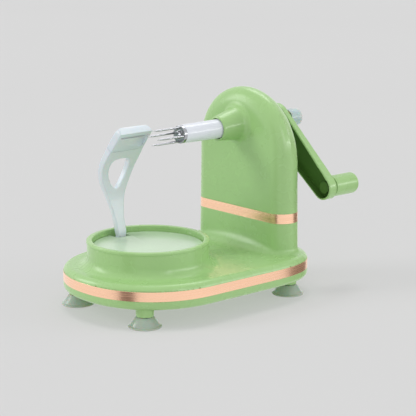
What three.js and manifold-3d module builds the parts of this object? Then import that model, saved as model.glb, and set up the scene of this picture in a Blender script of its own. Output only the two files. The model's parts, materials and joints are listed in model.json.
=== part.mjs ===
// Hand-cranked apple peeler. Millimetres, +Z up, +X from the fruit fork towards the crank,
// drawn about a point on the table under the fork, then moved so that the origin is under the
// middle of the whole machine.
//
// Turning the crank spins the fork that holds the fruit. A mitre gear pair in the column turns a
// vertical shaft, and two spur stages in the base turn the turntable that carries the peeling arm.
import * as THREE from "three";
import { mergeVertices } from "three/addons/utils/BufferGeometryUtils.js";
import Module from "manifold-3d";

const wasm = await Module();
wasm.setup();

// ---------------------------------------------------------------- driving dimensions
const GAP = 0.3; // clearance between pieces that touch
const WALL = 3; // moulded wall
const OVER = 1; // how far a cutting tool runs past the face it cuts
const CHAMFER = 0.8; // broken edge of a small piece

const BASE = {
  bottom: 16.2, // lower rim of the housing
  top: 37, // upper face of the base
  front: -128.9, // end under the turntable
  rear: 86.7, // end behind the column
  halfWidth: 76,
  noseRadius: 76, // length of the front end curve
  tailRadius: 75.5,
  nosePower: 2.17, // superellipse power of the front end
  tailPower: 3,
  edge: 5, // rounding of the upper and lower edges
};
const BAND = { bottom: 24, height: 8.1, depth: 1 };
const COLUMN_BAND = { bottom: 64.4, height: 8.6, depth: 1 };

const TO_MIDDLE = 3; // from the drawing origin to the middle of the whole machine
const TABLE_X = -60; // turntable axis
const TURRET = { radius: 52, bore: 47.5, top: 59.4, flare: 9 };
const PLATE = { radius: 46.9, top: 54.5, thickness: 3.5 };

const COLUMN = {
  front: 41.5,
  thickness: 29,
  halfWidthLow: 57.6, // at the base
  halfWidthHigh: 55.6, // where the arch starts
  archZ: 122.8,
};
// The arch's rounded edge runs forward of the middle as it rises, and is flatter behind, most so
// at one height.
const ARCH_EDGE = { from: 118, to: 168, lead: 4, flattest: 143, flatness: 2.4 };
const COLUMN_MID = COLUMN.front + COLUMN.thickness / 2;
const COLUMN_REAR = COLUMN.front + COLUMN.thickness;

const FORK_Z = 144.7; // axis of fork, main shaft and crank
const SNOUT = { tip: 18, tipRadius: 10.6, rootRadius: 15.4, rise: 0.11, bore: 9.2, bushBore: 7.8 };

const SHAFT_RADIUS = 4;
const ROD_RADIUS = 2;
const SLEEVE = { front: -22.4, rear: 22, frontRadius: 8, rearRadius: 8.5 };
const HUB = { front: -25, radius: 7.9 };
const PRONG = { count: 4, radius: 1.05, circle: 6.2, tip: -55, tipLength: 6, depth: 2.1, phase: 0.1 };

const LEVER = {
  open: 84, // plane of the open side
  back: 92.8,
  length: 82,
  shaftEnd: 15,
  gripEnd: 10.7,
  wall: 1.4,
  hubRadius: 8,
  socketRadius: 5.4,
  angle: THREE.MathUtils.degToRad(50.8), // from straight down towards -Y
};
const GRIP = { bossEnd: 93.8, front: 95, rear: 123.2, radius: 9.5, bossRadius: 9.3, axleRadius: 3 };
const KNOB = { front: 107, rear: 116.5, radius: 8.2, wall: 2.2 };

const CUP = { radius: 14.1, height: 9, neck: 7.2, stem: 3.6, stemTop: 22.6, boss: 7.9 };
const CUP_HOLLOW = { radius: 6, rim: 1.6, height: 3, crown: 4 };
const CUP_BARB = { depth: 1.4, bottom: 20.4, lead: 0.5 }; // lip that keeps the stem in its boss
const CUP_PLACES = {
  front_left: [TABLE_X - 41.3, 45.4],
  front_right: [TABLE_X - 41.3, -45.4],
  rear_left: [56.8, 50.7],
  rear_right: [56.8, -50.7],
};

// gear train
const MITRE = { teeth: 12, radius: 9.6, face: 4.2, hub: 6.4 };
const MITRE_HUB_LENGTH = { drive: 1.4, driven: 5 };
const PINION_TEETH = 10;
const WHEEL_TEETH = 40;
const SHAFT_X = COLUMN_MID + 0.2; // vertical shaft
const STAGE = (SHAFT_X - TABLE_X) / 2; // centre distance of each spur stage
const COMPOUND_X = SHAFT_X - STAGE;
const MODULE = (2 * STAGE) / (PINION_TEETH + WHEEL_TEETH);
const LOW_GEAR = { bottom: 21.6, height: 4.4 };
const HIGH_GEAR = { bottom: 27.6, height: 4.6 };
const COMPOUND_PINION = { bottom: 25.8, top: 33 };
const GEAR = { pressure: THREE.MathUtils.degToRad(25), addendum: 0.85, dedendum: 1.15, backlash: 0.45 };

// peeling arm: a curved band, seen from the side by its inner face, and from the front by its width
const ARM = { x: 2, pivotY: 40.6, pivotZ: 50, pinRadius: 1.5, knuckle: 3.9, knuckleHalf: 3.7 };

// ---------------------------------------------------------------- colours
const material = (color, roughness, metalness = 0) =>
  new THREE.MeshStandardMaterial({ color, roughness, metalness });
const GREEN = material(0x98c57c, 0.3);
const COPPER = material(0xe9b48f, 0.28, 0.9);
const MINT = material(0xbfd2cc, 0.35);
const WHITE = material(0xdde2e6, 0.3);
const RUBBER = material(0x9aa89b, 0.55);
const STEEL = material(0xc9cdd0, 0.2, 1);
const BRASS = material(0xc9a75a, 0.35, 1);
const DARK = material(0x33382f, 0.6);
const NYLON = material(0xe8e6dc, 0.5);

// ---------------------------------------------------------------- solids
const UP = "z";
const ALONG = "x";

// Turns a geometry whose length runs along its own Y so that it runs along Z or X.
const lay = (geometry, axis) =>
  axis === UP ? geometry.rotateX(Math.PI / 2) : geometry.rotateZ(-Math.PI / 2);

function solid(geometry) {
  const bare = geometry.clone();
  bare.deleteAttribute("normal");
  bare.deleteAttribute("uv");
  const merged = mergeVertices(bare, 1e-4);
  const build = (triVerts) =>
    new wasm.Manifold(
      new wasm.Mesh({
        numProp: 3,
        vertProperties: merged.attributes.position.array,
        triVerts,
      }),
    );
  const made = build(new Uint32Array(merged.index.array));
  if (made.volume() > 0) return made;
  return build(new Uint32Array(merged.index.array).reverse());
}

function geometryOf(body) {
  const mesh = body.getMesh();
  return new THREE.BufferGeometry()
    .setAttribute("position", new THREE.BufferAttribute(mesh.vertProperties, 3))
    .setIndex(new THREE.BufferAttribute(mesh.triVerts, 1));
}

const join = (...bodies) => bodies.reduce((a, b) => a.add(b));
const cut = (body, ...tools) => tools.reduce((a, b) => a.subtract(b), body);

// A turned shape: profile points are [radius, place along the axis], closed when both ends are off it.
function turned(profile, axis, segments = 24) {
  const points = profile.map(([r, h]) => new THREE.Vector2(r, h));
  const closed = profile[0][0] > 0;
  if (closed) points.push(points[0].clone());
  return solid(lay(new THREE.LatheGeometry(points, segments), axis));
}

const rod = (radius, from, to, axis, segments = 16) =>
  turned([[0, from], [radius, from], [radius, to], [0, to]], axis, segments);

const ring = (inner, outer, from, to, axis, segments = 20) =>
  turned([[inner, from], [outer, from], [outer, to], [inner, to]], axis, segments);

const block = (x0, x1, y0, y1, z0, z1) =>
  solid(
    new THREE.BoxGeometry(x1 - x0, y1 - y0, z1 - z0).translate(
      (x0 + x1) / 2,
      (y0 + y1) / 2,
      (z0 + z1) / 2,
    ),
  );

// A flat shape raised from one height to another, its edges rounded by `edge`.
function raisedGeometry(shape, from, to, { edge = 0, steps = 2, curveSegments = 12 } = {}) {
  return new THREE.ExtrudeGeometry(shape, {
    depth: to - from - 2 * edge,
    curveSegments,
    bevelEnabled: edge > 0,
    bevelThickness: edge,
    bevelSize: edge,
    bevelOffset: -edge,
    bevelSegments: steps,
  }).translate(0, 0, from + edge);
}

const raised = (shape, from, to, options) => solid(raisedGeometry(shape, from, to, options));

// The same for a shape drawn in the Y-Z plane and raised along X.
const X_FROM_Z = new THREE.Matrix4().makeBasis(
  new THREE.Vector3(0, 1, 0),
  new THREE.Vector3(0, 0, 1),
  new THREE.Vector3(1, 0, 0),
);
const raisedAlongX = (shape, from, to, options) =>
  solid(raisedGeometry(shape, from, to, options).applyMatrix4(X_FROM_Z));

function coil({ radius, wire, length, turns }, axis) {
  const steps = turns * 8;
  const points = Array.from({ length: steps + 1 }, (_, i) => {
    const a = (i / steps) * turns * 2 * Math.PI;
    return new THREE.Vector3(radius * Math.cos(a), (i / steps) * length, radius * Math.sin(a));
  });
  const section = new THREE.Shape().absarc(0, 0, wire, 0, 2 * Math.PI);
  const geometry = new THREE.ExtrudeGeometry(section, {
    steps,
    curveSegments: 2,
    extrudePath: new THREE.CatmullRomCurve3(points),
  });
  return solid(lay(geometry, axis));
}

// ---------------------------------------------------------------- outlines

// Plan of the base: two superellipse ends joined by straight sides, drawn `inset` inside the rim.
function basePlan(inset, steps = 11) {
  const half = BASE.halfWidth - inset;
  const end = (centre, length, power, side) =>
    Array.from({ length: 2 * steps + 1 }, (_, i) => {
      const a = -Math.PI / 2 + (i / (2 * steps)) * Math.PI;
      const reach = (value, size) => Math.sign(value) * size * Math.abs(value) ** (2 / power);
      return new THREE.Vector2(
        centre + side * reach(Math.cos(a), length - inset),
        side * reach(Math.sin(a), half),
      );
    });
  const tail = end(BASE.rear - BASE.tailRadius, BASE.tailRadius, BASE.tailPower, 1);
  const nose = end(BASE.front + BASE.noseRadius, BASE.noseRadius, BASE.nosePower, -1);
  return new THREE.Shape([...tail, ...nose]);
}

// Arched elevation of the column in Y-Z, from height `bottom` up, drawn `inset` inside its edge.
function columnArch(inset, bottom, steps = 14) {
  const low = COLUMN.halfWidthLow - inset;
  const high = COLUMN.halfWidthHigh - inset;
  const arc = Array.from({ length: steps + 1 }, (_, i) => {
    const a = (i / steps) * Math.PI;
    return new THREE.Vector2(high * Math.cos(a), COLUMN.archZ + high * Math.sin(a));
  });
  return new THREE.Shape([
    new THREE.Vector2(-low, bottom),
    new THREE.Vector2(low, bottom),
    ...arc,
  ]);
}

// Moves the rounded edge of a column solid to its place along the arch.
const withArchEdge = (column) =>
  column.warp((vertex) => {
    const [x, y, z] = vertex;
    const share = (from, to) => THREE.MathUtils.clamp((z - from) / (to - from), 0, 1);
    const { from, to, flattest } = ARCH_EDGE;
    const across = (x - COLUMN_MID) / (COLUMN.thickness / 2);
    const behind = Math.max(across, 0);
    const flat = Math.min(share(from, flattest), share(to, flattest));
    const inset = ARCH_EDGE.flatness * flat * 4 * behind * (1 - behind);
    const outward = new THREE.Vector2(y, Math.max(z - COLUMN.archZ, 0)).normalize();
    vertex[0] = x - ARCH_EDGE.lead * share(from, to) * (1 - across ** 2);
    vertex[1] = y - inset * outward.x;
    vertex[2] = z - inset * outward.y;
  });

// Plan of the column at the height of its band: straight faces and half-round sides.
function columnPlan(inset) {
  const radius = COLUMN.thickness / 2 - inset;
  const foot = BASE.bottom + BASE.edge;
  const share = (COLUMN_BAND.bottom + COLUMN_BAND.height / 2 - foot) / (COLUMN.archZ - foot);
  const halfWidth = THREE.MathUtils.lerp(COLUMN.halfWidthLow, COLUMN.halfWidthHigh, share);
  const y = halfWidth - COLUMN.thickness / 2;
  return new THREE.Shape()
    .moveTo(COLUMN_MID + radius, -y)
    .lineTo(COLUMN_MID + radius, y)
    .absarc(COLUMN_MID, y, radius, 0, Math.PI)
    .lineTo(COLUMN_MID - radius, -y)
    .absarc(COLUMN_MID, -y, radius, Math.PI, 2 * Math.PI);
}

// A strip that follows a plan, from `outer` to `inner` inside the plan's edge.
const band = (plan, outer, inner, bottom, height) =>
  cut(
    raised(plan(outer), bottom, bottom + height, { curveSegments: 8 }),
    raised(plan(inner), bottom - OVER, bottom + height + OVER, { curveSegments: 8 }),
  );

// Involute gear outline with thinned teeth. `phase` is the angle of the first tooth in radians.
function gearShape(teeth, module, phase, flankSteps = 2) {
  const pitch = (teeth * module) / 2;
  const base = pitch * Math.cos(GEAR.pressure);
  const tip = pitch + GEAR.addendum * module;
  const root = pitch - GEAR.dedendum * module;
  const involute = (a) => Math.tan(a) - a;
  const halfTooth = (r) =>
    Math.PI / (2 * teeth) -
    GEAR.backlash / (2 * pitch) +
    involute(GEAR.pressure) -
    involute(Math.acos(Math.min(1, base / r)));
  const points = [];
  for (let tooth = 0; tooth < teeth; tooth++) {
    const middle = phase + (tooth / teeth) * 2 * Math.PI;
    const flank = Array.from({ length: flankSteps }, (_, i) => {
      const r = THREE.MathUtils.lerp(root, tip, i / (flankSteps - 1));
      return [r, halfTooth(r)];
    });
    for (const [r, a] of flank)
      points.push(new THREE.Vector2(r * Math.cos(middle - a), r * Math.sin(middle - a)));
    for (const [r, a] of flank.reverse())
      points.push(new THREE.Vector2(r * Math.cos(middle + a), r * Math.sin(middle + a)));
  }
  return new THREE.Shape(points);
}

function spurGear(teeth, phase, { bottom, height }, bore) {
  const shape = gearShape(teeth, MODULE, phase, teeth > PINION_TEETH ? 2 : 4);
  const gear = raised(shape, bottom, bottom + height);
  return cut(gear, rod(bore, bottom - OVER, bottom + height + OVER, UP));
}

// Lightening pockets in the web of a large wheel.
const pocketed = (wheel, { bottom, height }, { inner, outer, depth }) =>
  cut(
    wheel,
    ring(inner, outer, bottom - OVER, bottom + depth, UP, 32),
    ring(inner, outer, bottom + height - depth, bottom + height + OVER, UP, 32),
  );

// Straight mitre gear, teeth tapering to the apex at the origin, large end at z = -radius.
function mitreGear(phase, bore) {
  const { teeth, radius, face } = MITRE;
  const module = (2 * radius) / teeth;
  const geometry = new THREE.ExtrudeGeometry(gearShape(teeth, module, phase), {
    depth: face,
    bevelEnabled: false,
  }).translate(0, 0, -radius);
  const place = geometry.attributes.position;
  for (let i = 0; i < place.count; i++) {
    const scale = -place.getZ(i) / radius;
    place.setXY(i, place.getX(i) * scale, place.getY(i) * scale);
  }
  return cut(solid(geometry), rod(bore, -radius - OVER, 0, UP));
}

// ---------------------------------------------------------------- scene helpers
const group = (x = 0, y = 0, z = 0) => {
  const made = new THREE.Group();
  made.position.set(x, y, z);
  return made;
};

function piece(parent, name, body, look) {
  const mesh = new THREE.Mesh(geometryOf(body), look);
  mesh.name = name;
  parent.add(mesh);
  return mesh;
}

const machine = group();
machine.position.x = TO_MIDDLE;

// ---------------------------------------------------------------- housing
const BASE_SCREWS = [
  [-112, 22],
  [-112, -22],
  [71, 22],
  [71, -22],
].map(([x, y]) => ({ x, y }));
const COVER_SCREWS = [
  [34, 92],
  [-34, 92],
  [24, 150],
  [-24, 150],
].map(([y, z]) => ({ y, z }));
const COVER = { inset: 15, thickness: 2.6, bottom: 84, seat: 2.9 };
const COVER_INNER = COLUMN_REAR - COVER.thickness;
const SHELF = { bottom: 116, top: 121, halfWidth: 44, bore: 4.7 };
const FLOOR = { bottom: 17.3, top: 19.8, inset: 6.8 };
const BASE_BOSS = { radius: 4.6, bottom: 20.2, pilot: 1.8, pilotTop: 30 };
const COVER_BOSS = { radius: 3.6, pilot: 1.6 };
const SCREW_SINK = 1.3; // depth of a screw head below its face
const SCREW_HOLE = { shank: 1.8, head: 3.4 };
const COLUMN_HOLLOW = 10; // inset of the column's hollow from its edge
const BUSH_SEAT = 23.4; // where the front bush stops in the snout

function upperHousing() {
  const skin = join(
    raised(basePlan(0), BASE.bottom, BASE.top, { edge: BASE.edge }),
    withArchEdge(
      raisedAlongX(
        columnArch(0, BASE.bottom + BASE.edge),
        COLUMN.front,
        COLUMN_REAR,
        { edge: COLUMN.thickness / 2 - 0.05, steps: 4 },
      ),
    ),
    turned(
      [
        [0, BASE.bottom + BASE.edge],
        [TURRET.radius + TURRET.flare, BASE.bottom + BASE.edge],
        [TURRET.radius + TURRET.flare, BASE.top],
        [TURRET.radius + 3.2, BASE.top + 2],
        [TURRET.radius + 0.8, BASE.top + 6],
        [TURRET.radius, BASE.top + 11],
        [TURRET.radius, TURRET.top - 2],
        [TURRET.radius - 2, TURRET.top],
        [0, TURRET.top],
      ],
      UP,
      40,
    ).translate([TABLE_X, 0, 0]),
    turned(
      [
        [0, SNOUT.tip],
        [SNOUT.tipRadius - CHAMFER, SNOUT.tip],
        [SNOUT.tipRadius, SNOUT.tip + CHAMFER],
        [SNOUT.rootRadius - 1.2, COLUMN.front - 3],
        [SNOUT.rootRadius, COLUMN.front - 0.5],
        [SNOUT.rootRadius, COLUMN_MID],
        [0, COLUMN_MID],
      ],
      ALONG,
      24,
    )
      .warp((vertex) => {
        vertex[2] += SNOUT.rise * Math.max(vertex[0] - SNOUT.tip, 0);
      })
      .translate([0, 0, FORK_Z]),
  );
  const cavities = join(
    raised(basePlan(FLOOR.inset - 0.4), BASE.bottom - OVER, BASE.top - WALL),
    raisedAlongX(columnArch(COLUMN_HOLLOW, BASE.bottom), COLUMN.front + WALL, COVER_INNER - WALL),
    raisedAlongX(
      columnArch(COVER.inset + COVER.seat, COVER.bottom + COVER.seat),
      COLUMN_MID,
      COLUMN_REAR + OVER,
    ),
    raisedAlongX(columnArch(COVER.inset, COVER.bottom), COVER_INNER - GAP, COLUMN_REAR + OVER),
    rod(TURRET.bore, BASE.top - WALL - OVER, TURRET.top + OVER, UP, 40).translate([TABLE_X, 0, 0]),
    rod(SNOUT.bore, SNOUT.tip - OVER, BUSH_SEAT, ALONG).translate([0, 0, FORK_Z]),
    rod(SNOUT.bushBore, BUSH_SEAT - OVER, COLUMN_MID, ALONG).translate([0, 0, FORK_Z]),
  );
  const shelf = cut(
    block(
      COLUMN.front + OVER,
      COVER_INNER - OVER,
      -SHELF.halfWidth,
      SHELF.halfWidth,
      SHELF.bottom,
      SHELF.top,
    ),
    rod(SHELF.bore, SHELF.bottom - OVER, SHELF.top + OVER, UP).translate([SHAFT_X, 0, 0]),
  );
  const bosses = BASE_SCREWS.map(({ x, y }) =>
    rod(BASE_BOSS.radius, BASE_BOSS.bottom, BASE.top - OVER, UP, 10).translate([x, y, 0]),
  );
  const coverBosses = COVER_SCREWS.map(({ y, z }) =>
    rod(COVER_BOSS.radius, COLUMN.front + OVER, COVER_INNER - GAP, ALONG, 8).translate([0, y, z]),
  );
  const holes = [
    ...BASE_SCREWS.map(({ x, y }) =>
      rod(BASE_BOSS.pilot, BASE_BOSS.bottom - OVER, BASE_BOSS.pilotTop, UP, 8).translate([x, y, 0]),
    ),
    ...COVER_SCREWS.map(({ y, z }) =>
      rod(COVER_BOSS.pilot, COLUMN_MID, COLUMN_REAR + OVER, ALONG, 8).translate([0, y, z]),
    ),
  ];
  const grooves = [
    band(basePlan, -OVER, BAND.depth + GAP, BAND.bottom - GAP, BAND.height + 2 * GAP),
    band(
      columnPlan,
      -OVER,
      COLUMN_BAND.depth + GAP,
      COLUMN_BAND.bottom - GAP,
      COLUMN_BAND.height + 2 * GAP,
    ),
  ];
  return cut(join(cut(skin, cavities), shelf, ...bosses, ...coverBosses), ...holes, ...grooves);
}

const REAR_BOSS = { end: 83.4, radius: 9.5, rootRadius: 13, bushRadius: 6.6 };

function rearCover() {
  const panel = raisedAlongX(
    columnArch(COVER.inset + GAP, COVER.bottom + GAP),
    COVER_INNER,
    COLUMN_REAR,
    { edge: CHAMFER },
  );
  const boss = turned(
    [
      [0, COVER_INNER],
      [REAR_BOSS.rootRadius, COVER_INNER],
      [REAR_BOSS.rootRadius, COLUMN_REAR],
      [REAR_BOSS.radius + 1, COLUMN_REAR + 3],
      [REAR_BOSS.radius, REAR_BOSS.end - 1],
      [REAR_BOSS.radius - 1, REAR_BOSS.end],
      [0, REAR_BOSS.end],
    ],
    ALONG,
    24,
  ).translate([0, 0, FORK_Z]);
  const holes = COVER_SCREWS.map(({ y, z }) =>
    join(
      rod(SCREW_HOLE.shank, COVER_INNER - OVER, COLUMN_REAR + OVER, ALONG, 8),
      rod(SCREW_HOLE.head, COLUMN_REAR - SCREW_SINK, COLUMN_REAR + OVER, ALONG, 12),
    ).translate([0, y, z]),
  );
  const bore = rod(REAR_BOSS.bushRadius + GAP, COVER_INNER - OVER, REAR_BOSS.end + OVER, ALONG);
  return cut(join(panel, boss), bore.translate([0, 0, FORK_Z]), ...holes);
}

const PIN = { bottom: 13.8, compoundRadius: 3, compoundTop: 33.4, tableRadius: 4, tableTop: 47 };
const LOWER_BUSH_RADIUS = 4.3;
const PIN_BOSSES = [
  { x: SHAFT_X, radius: 7, bore: LOWER_BUSH_RADIUS + GAP },
  { x: COMPOUND_X, radius: 6.5, bore: PIN.compoundRadius + GAP },
  { x: TABLE_X, radius: 8, bore: PIN.tableRadius + GAP },
];
const PIN_BOSS = { bottom: 11.5, top: 21.1, floor: 13.5 };
const THROUGH = { bottom: CUP.height, top: 30 }; // reach of the holes through the base plate

function basePlate() {
  const cupBosses = Object.values(CUP_PLACES).map(([x, y]) =>
    turned(
      [
        [0, CUP.height + GAP],
        [CUP.boss - 0.3, CUP.height + GAP],
        [CUP.boss, FLOOR.bottom + 1],
        [0, FLOOR.bottom + 1],
      ],
      UP,
      20,
    ).translate([x, y, 0]),
  );
  const pinBosses = PIN_BOSSES.map(({ x, radius }) =>
    rod(radius, PIN_BOSS.bottom, PIN_BOSS.top, UP).translate([x, 0, 0]),
  );
  const bores = [
    ...PIN_BOSSES.map(({ x, bore }) =>
      rod(bore, PIN_BOSS.floor, THROUGH.top, UP).translate([x, 0, 0]),
    ),
    ...Object.values(CUP_PLACES).map(([x, y]) =>
      rod(CUP.stem + GAP, THROUGH.bottom - OVER, THROUGH.top, UP, 12).translate([x, y, 0]),
    ),
    ...BASE_SCREWS.map(({ x, y }) =>
      join(
        rod(SCREW_HOLE.shank, THROUGH.bottom, THROUGH.top, UP, 8),
        rod(SCREW_HOLE.head, THROUGH.bottom, FLOOR.top - SCREW_SINK, UP, 12),
      ).translate([x, y, 0]),
    ),
  ];
  const plate = raised(basePlan(FLOOR.inset), FLOOR.bottom, FLOOR.top);
  const outside = -BASE.edge;
  const depth = BASE.top - BASE.bottom;
  const rimSpace = band(basePlan, outside, FLOOR.inset, BASE.bottom - GAP, depth);
  return cut(join(plate, ...cupBosses, ...pinBosses), rimSpace, ...bores);
}

function suctionCup() {
  const { radius, height, neck, stem, stemTop } = CUP;
  return turned(
    [
      [0, CUP_HOLLOW.crown],
      [CUP_HOLLOW.radius, CUP_HOLLOW.height],
      [radius - CUP_HOLLOW.rim, 0],
      [radius, 0],
      [radius - 0.5, 1.6],
      [neck + 0.6, height - 1.6],
      [neck, height],
      [stem, height],
      [stem, CUP_BARB.bottom - CUP_BARB.lead],
      [stem + CUP_BARB.depth, CUP_BARB.bottom],
      [stem + CUP_BARB.depth / 2, stemTop],
      [0, stemTop],
    ],
    UP,
    16,
  );
}

const BASE_SCREW = { head: 3, headLength: 1.1, shank: 1.4, length: 11, seat: 17.1 };
const COVER_SCREW = { head: 3, headLength: 0.9, shank: 1.15, length: 9, seat: COLUMN_REAR - 0.1 };
const screw = ({ head, headLength, shank, length }) =>
  turned(
    [
      [0, 0],
      [head, 0],
      [head, headLength],
      [shank, headLength],
      [shank, length],
      [0, length],
    ],
    UP,
    10,
  );

piece(machine, "upper_housing", upperHousing(), GREEN);
piece(machine, "rear_cover", rearCover(), GREEN);
piece(machine, "base_plate", basePlate(), GREEN);
piece(machine, "base_trim_band", band(basePlan, 0, BAND.depth, BAND.bottom, BAND.height), COPPER);
piece(
  machine,
  "column_trim_band",
  band(columnPlan, 0, COLUMN_BAND.depth, COLUMN_BAND.bottom, COLUMN_BAND.height),
  COPPER,
);
for (const [name, [x, y]] of Object.entries(CUP_PLACES))
  piece(machine, `suction_cup_${name}`, suctionCup(), RUBBER).position.set(x, y, 0);
BASE_SCREWS.forEach(({ x, y }, i) => {
  const mesh = piece(machine, `base_screw_${i + 1}`, screw(BASE_SCREW), STEEL);
  mesh.position.set(x, y, BASE_SCREW.seat);
});
COVER_SCREWS.forEach(({ y, z }, i) => {
  const mesh = piece(machine, `cover_screw_${i + 1}`, screw(COVER_SCREW), STEEL);
  mesh.position.set(COVER_SCREW.seat, y, z);
  mesh.rotation.y = -Math.PI / 2;
});

// ---------------------------------------------------------------- bearings and fixed pins
const BORE = SHAFT_RADIUS + GAP;
const onAxis = group(0, 0, FORK_Z);
machine.add(onAxis);
piece(onAxis, "front_bush", ring(BORE, SNOUT.bushBore - GAP, BUSH_SEAT + 0.6, 36, ALONG), NYLON);
piece(
  onAxis,
  "rear_bush",
  ring(BORE, REAR_BOSS.bushRadius, COLUMN_REAR - 1.5, REAR_BOSS.end - 0.6, ALONG),
  NYLON,
);

const VERTICAL_RADIUS = 3;
const shaftFoot = group(SHAFT_X, 0, 0);
machine.add(shaftFoot);
const VERTICAL_BORE = VERTICAL_RADIUS + GAP;
piece(
  shaftFoot,
  "upper_shaft_bush",
  ring(VERTICAL_BORE, SHELF.bore - GAP, SHELF.bottom - 0.4, SHELF.top + 0.4, UP),
  BRASS,
);
piece(
  shaftFoot,
  "lower_shaft_bush",
  ring(VERTICAL_BORE, LOWER_BUSH_RADIUS, PIN.bottom, PIN_BOSS.top - 0.1, UP),
  BRASS,
);

piece(
  machine,
  "compound_gear_pin",
  rod(PIN.compoundRadius, PIN.bottom, PIN.compoundTop, UP),
  STEEL,
).position.x = COMPOUND_X;
piece(
  machine,
  "turntable_axle",
  rod(PIN.tableRadius, PIN.bottom, PIN.tableTop, UP),
  STEEL,
).position.x = TABLE_X;

// ---------------------------------------------------------------- crankshaft with fork and lever
const crankshaft = group(0, 0, FORK_Z);
machine.add(crankshaft);

const NUT = { front: 93.1, end: 95, radius: 7 };
const SHAFT_END = 94.2;
const PRONG_PLACES = Array.from({ length: PRONG.count }, (_, i) => {
  const a = PRONG.phase + (i / PRONG.count) * 2 * Math.PI;
  return [PRONG.circle * Math.cos(a), PRONG.circle * Math.sin(a)];
});
piece(
  crankshaft,
  "main_shaft",
  ring(ROD_RADIUS + GAP, SHAFT_RADIUS, SLEEVE.front + 0.2, SHAFT_END, ALONG),
  STEEL,
);
piece(
  crankshaft,
  "spindle_sleeve",
  turned(
    [
      [BORE, SLEEVE.front + 0.6],
      [SLEEVE.frontRadius - CHAMFER, SLEEVE.front + 0.2],
      [SLEEVE.frontRadius, SLEEVE.front + 1],
      [SLEEVE.rearRadius, SLEEVE.rear],
      [BORE, SLEEVE.rear],
    ],
    ALONG,
    28,
  ),
  WHITE,
);
piece(
  crankshaft,
  "fork_hub",
  cut(
    turned(
      [
        [ROD_RADIUS + GAP, HUB.front],
        [HUB.radius - CHAMFER, HUB.front],
        [HUB.radius, HUB.front + CHAMFER],
        [HUB.radius, SLEEVE.front - 0.1],
        [ROD_RADIUS + GAP, SLEEVE.front - 0.1],
      ],
      ALONG,
      20,
    ),
    ...PRONG_PLACES.map(([y, z]) =>
      rod(PRONG.radius + 0.25, HUB.front - OVER, HUB.front + PRONG.depth, ALONG, 8).translate([0, y, z]),
    ),
  ),
  STEEL,
);
PRONG_PLACES.forEach(([y, z], i) => {
  const prong = turned(
    [
      [0, PRONG.tip],
      [0.3, PRONG.tip],
      [PRONG.radius, PRONG.tip + PRONG.tipLength],
      [PRONG.radius, HUB.front + PRONG.depth - 0.4],
      [0, HUB.front + PRONG.depth - 0.4],
    ],
    ALONG,
    10,
  );
  piece(crankshaft, `fork_prong_${i + 1}`, prong, STEEL).position.set(0, y, z);
});

const mitreHub = (bore, length) =>
  ring(bore, MITRE.hub, -MITRE.radius - length, -MITRE.radius + 0.2, UP);
const drive = piece(
  crankshaft,
  "drive_mitre_gear",
  join(mitreGear(0, BORE), mitreHub(BORE, MITRE_HUB_LENGTH.drive)),
  NYLON,
);
drive.position.x = SHAFT_X;
drive.rotation.y = -Math.PI / 2;

// The lever is built pointing straight down and turned to its resting angle.
const leverGroup = group();
leverGroup.rotation.x = -LEVER.angle;
crankshaft.add(leverGroup);

// Outline of the lever in Y-Z: two round ends joined by their common tangents.
function leverOutline(inset) {
  const top = LEVER.shaftEnd - inset;
  const low = LEVER.gripEnd - inset;
  const lean = Math.asin((LEVER.shaftEnd - LEVER.gripEnd) / LEVER.length);
  return new THREE.Shape()
    .absarc(0, 0, top, -lean, Math.PI + lean, false)
    .absarc(0, -LEVER.length, low, Math.PI + lean, 2 * Math.PI - lean, false);
}

function crankLever() {
  const { open, back, wall, length } = LEVER;
  const shell = cut(
    raisedAlongX(leverOutline(0), open, back, { edge: CHAMFER, steps: 1, curveSegments: 10 }),
    raisedAlongX(leverOutline(wall), open - OVER, back - wall, { curveSegments: 10 }),
  );
  const hub = rod(LEVER.hubRadius, open + 1, back - 1, ALONG);
  const gripBoss = rod(GRIP.bossRadius, back - 1, GRIP.bossEnd, ALONG, 24);
  const gripSocket = rod(LEVER.socketRadius, open + 3, back - 1, ALONG);
  return cut(
    join(shell, hub, join(gripBoss, gripSocket).translate([0, 0, -length])),
    rod(BORE, open - OVER, back + OVER, ALONG),
    rod(GRIP.axleRadius + GAP, open + 5, GRIP.bossEnd + OVER, ALONG).translate([0, 0, -length]),
  );
}
piece(leverGroup, "crank_lever", crankLever(), GREEN);
piece(
  crankshaft,
  "lever_nut",
  cut(
    turned(
      [
        [0, NUT.front],
        [NUT.radius, NUT.front],
        [NUT.radius, NUT.end - CHAMFER],
        [NUT.radius - CHAMFER, NUT.end],
        [0, NUT.end],
      ],
      ALONG,
      6,
    ),
    rod(BORE, NUT.front - OVER, NUT.end + OVER, ALONG),
  ),
  STEEL,
);

const gripGroup = group(0, 0, -LEVER.length);
leverGroup.add(gripGroup);
piece(
  gripGroup,
  "grip_axle",
  rod(GRIP.axleRadius, LEVER.open + 5 + GAP, GRIP.rear - 6, ALONG),
  STEEL,
);
piece(
  gripGroup,
  "grip_washer",
  ring(GRIP.axleRadius + GAP, GRIP.bossRadius - 0.7, GRIP.bossEnd + 0.2, GRIP.front - GAP, ALONG, 24),
  DARK,
);
piece(
  gripGroup,
  "crank_grip",
  cut(
    turned(
      [
        [0, GRIP.front],
        [GRIP.radius - 0.6, GRIP.front],
        [GRIP.radius, GRIP.front + 0.6],
        [GRIP.radius, GRIP.rear - 3.5],
        [GRIP.radius - 1, GRIP.rear - 1],
        [GRIP.radius - 3.5, GRIP.rear],
        [0, GRIP.rear],
      ],
      ALONG,
      24,
    ),
    rod(GRIP.axleRadius + GAP, GRIP.front - OVER, GRIP.rear - 5.6, ALONG),
  ),
  GREEN,
);

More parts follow.
